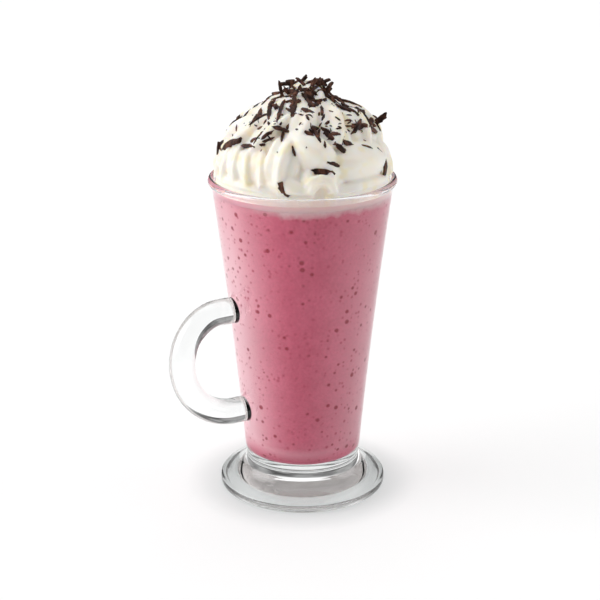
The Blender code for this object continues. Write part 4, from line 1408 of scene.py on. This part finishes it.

# %% [markdown]
# ## Table and light
#
# The glass stands on a white table that glows a little, so that it stays white to the picture's edges.
# Close round the foot a painted shadow makes it darker and lets it glow less, because a glowing table
# drowns the shadow of clear glass. The table ends just outside the picture, and the room beyond it is
# dark, which draws the dark outlines of the handle, the foot and the rim: clear glass shows only what it
# bends into view.

# %% The table
TABLE_NEAR = 0.32                     # how far it reaches towards the eye, in metres from the axis
TABLE_FAR = 1.6
NEAR_HALF_WIDTH = 0.36
FAR_HALF_WIDTH = 0.55
TABLE_GAP = 0.05 * MM                 # a thin film of air under the foot
SHADOW_START = 3.0 * MM               # how far inside the foot's edge the painted shadow starts to fade
SHADOW_REACH = 21.0 * MM              # how far out it reaches
SHADOW_COLOUR = (0.77, 0.785, 0.785)
TABLE_GREY = (0.45, 0.45, 0.45)
TABLE_GLOW = 0.57


def table_shape():
    """A plane that is narrow towards the eye and wide far away, with its face up."""
    shape = bmesh.new()
    for vert in bmesh.ops.create_grid(shape, x_segments=1, y_segments=1, size=1.0)["verts"]:
        near = vert.co.y > 0.0
        side = right_way * vert.co.x * (NEAR_HALF_WIDTH if near else FAR_HALF_WIDTH)
        vert.co = side + front_way * (TABLE_NEAR if near else -TABLE_FAR) - UP * TABLE_GAP
    bmesh.ops.recalc_face_normals(shape, faces=shape.faces)
    down = [face for face in shape.faces if face.normal.z < 0.0]
    bmesh.ops.reverse_faces(shape, faces=down)
    return shape


def table_finish():
    made, shader = finish("white_table", Roughness=0.9, Specular_IOR_Level=0.0,
                          Emission_Strength=TABLE_GLOW)
    tree = made.node_tree
    place = node(tree, "ShaderNodeTexCoord", -1000, 0)
    far = node(tree, "ShaderNodeVectorMath", -800, 0, operation="LENGTH")
    tree.links.new(place.outputs["Object"], far.inputs[0])
    # painted shadow: close round the foot the table is darker and glows less
    beyond_painted_shadow = node(tree, "ShaderNodeMapRange", -600, 0, interpolation_type="SMOOTHSTEP",
                    From_Min=FOOT_RADIUS - SHADOW_START, From_Max=FOOT_RADIUS + SHADOW_REACH)
    tree.links.new(far.outputs["Value"], beyond_painted_shadow.inputs["Value"])
    white = mixed(tree, -400, 100, beyond_painted_shadow.outputs["Result"], SHADOW_COLOUR, WHITE)
    grey = mixed(tree, -200, 0, 1.0, white, TABLE_GREY, blend="MULTIPLY")
    tree.links.new(grey, shader.inputs["Base Color"])
    tree.links.new(white, shader.inputs["Emission Color"])
    return made


table = piece_from("table", table_shape(), table_finish())
print("the table is", round(TABLE_NEAR + TABLE_FAR, 2), "m deep")

# %% [markdown]
# The lights are painted into the air as soft round lobes, so that their mirror images on the glass have
# soft edges too. Slow noise makes the dark room patchy, as a real one is, and far below the table's edge
# it is a little lighter. Matt surfaces also get some light from the white studio beyond, which neither
# mirror images nor clear glass show. The camera itself sees all of the air white.

# %% The air's values
# The lights: turn from the shown side and rise in degrees, the angles from the middle at which the light
# starts to fade and ends, and its brightness.
SOFT_LIGHTS = [
    (-84, 22, 10, 34, 3.85),          # the key at the left
    (90, 10, 10, 32, 1.75),           # the fill at the right
    (180, 70, 10, 42, 1.13),          # over the cream, a little behind
]
ROOM = 0.14                           # the dark room at the level of the table and above
CELLAR = 0.42                         # and far below it, as seen past the table's near edge
CELLAR_RISE, ROOM_RISE = -0.45, -0.05  # upward shares of a direction, where one turns into the other
CLUTTER_SCALE = 4.0
CLUTTER_NOISE = (0.38, 0.62)          # the noise's range that counts
CLUTTER_LIGHT = (0.35, 2.4)           # and what it multiplies the room's light by
SOFT_FILL = 0.25                      # what matt surfaces see of the white studio beyond the dark room
print("air with", len(SOFT_LIGHTS), "soft lights")

# %% The air
def soft_light(tree, i, sky, turn, lift, inner, outer, bright):
    """The light of one round lobe in the air, as a value."""
    angle = FRONT + math.radians(turn)
    way = Vector((math.cos(angle), math.sin(angle), 0.0)) * math.cos(math.radians(lift))
    way += UP * math.sin(math.radians(lift))
    toward = node(tree, "ShaderNodeVectorMath", -1100, -250 * (i + 1), operation="DOT_PRODUCT")
    tree.links.new(sky, toward.inputs[0])
    toward.inputs[1].default_value = way
    lobe = node(tree, "ShaderNodeMapRange", -900, -250 * (i + 1), interpolation_type="SMOOTHSTEP",
                From_Min=math.cos(math.radians(outer)), From_Max=math.cos(math.radians(inner)),
                To_Min=0.0, To_Max=bright)
    tree.links.new(toward.outputs["Value"], lobe.inputs["Value"])
    return lobe.outputs["Result"]


def dark_room(tree, sky):
    """The patchy light of the room, as a value."""
    split = node(tree, "ShaderNodeSeparateXYZ", -1100, 0)
    tree.links.new(sky, split.inputs["Vector"])
    rise = node(tree, "ShaderNodeMapRange", -900, 0, From_Min=CELLAR_RISE, From_Max=ROOM_RISE,
                To_Min=CELLAR, To_Max=ROOM)
    tree.links.new(split.outputs["Z"], rise.inputs["Value"])
    clutter = node(tree, "ShaderNodeTexNoise", -1100, 250, Scale=CLUTTER_SCALE, Detail=2.0)
    tree.links.new(sky, clutter.inputs["Vector"])
    patchy = node(tree, "ShaderNodeMapRange", -900, 250, From_Min=CLUTTER_NOISE[0],
                  From_Max=CLUTTER_NOISE[1], To_Min=CLUTTER_LIGHT[0], To_Max=CLUTTER_LIGHT[1])
    tree.links.new(clutter.outputs["Fac"], patchy.inputs["Value"])
    return maths(tree, -750, 100, "MULTIPLY", rise.outputs["Result"], patchy.outputs["Result"])


def make_air():
    """The world's shader: room, lights and fill, and white for the camera."""
    air = bpy.data.worlds.new("studio_air")
    air.use_nodes = True
    tree = air.node_tree
    back = tree.nodes["Background"]
    sky = node(tree, "ShaderNodeTexCoord", -1300, 0).outputs["Generated"]
    total = dark_room(tree, sky)
    for i, light in enumerate(SOFT_LIGHTS):
        total = maths(tree, -600 + 150 * i, -200, "ADD", total, soft_light(tree, i, sky, *light))
    path = node(tree, "ShaderNodeLightPath", -600, 300)
    direct = maths(tree, -500, 450, "SUBTRACT", 1.0, path.outputs["Is Glossy Ray"])
    scattered = maths(tree, -350, 350, "MAXIMUM", direct, path.outputs["Diffuse Depth"], clamp=True)
    soft = maths(tree, -200, 250, "MULTIPLY", scattered, SOFT_FILL)
    total = maths(tree, -150, 0, "ADD", total, soft)
    seen = mixed(tree, 0, 100, path.outputs["Is Camera Ray"], total, WHITE)
    tree.links.new(seen, back.inputs["Color"])
    back.inputs["Strength"].default_value = 1.0
    bpy.context.scene.world = air


make_air()
bpy.context.scene.view_settings.view_transform = "Standard"
print("the air's shader has", len(bpy.context.scene.world.node_tree.nodes), "nodes")
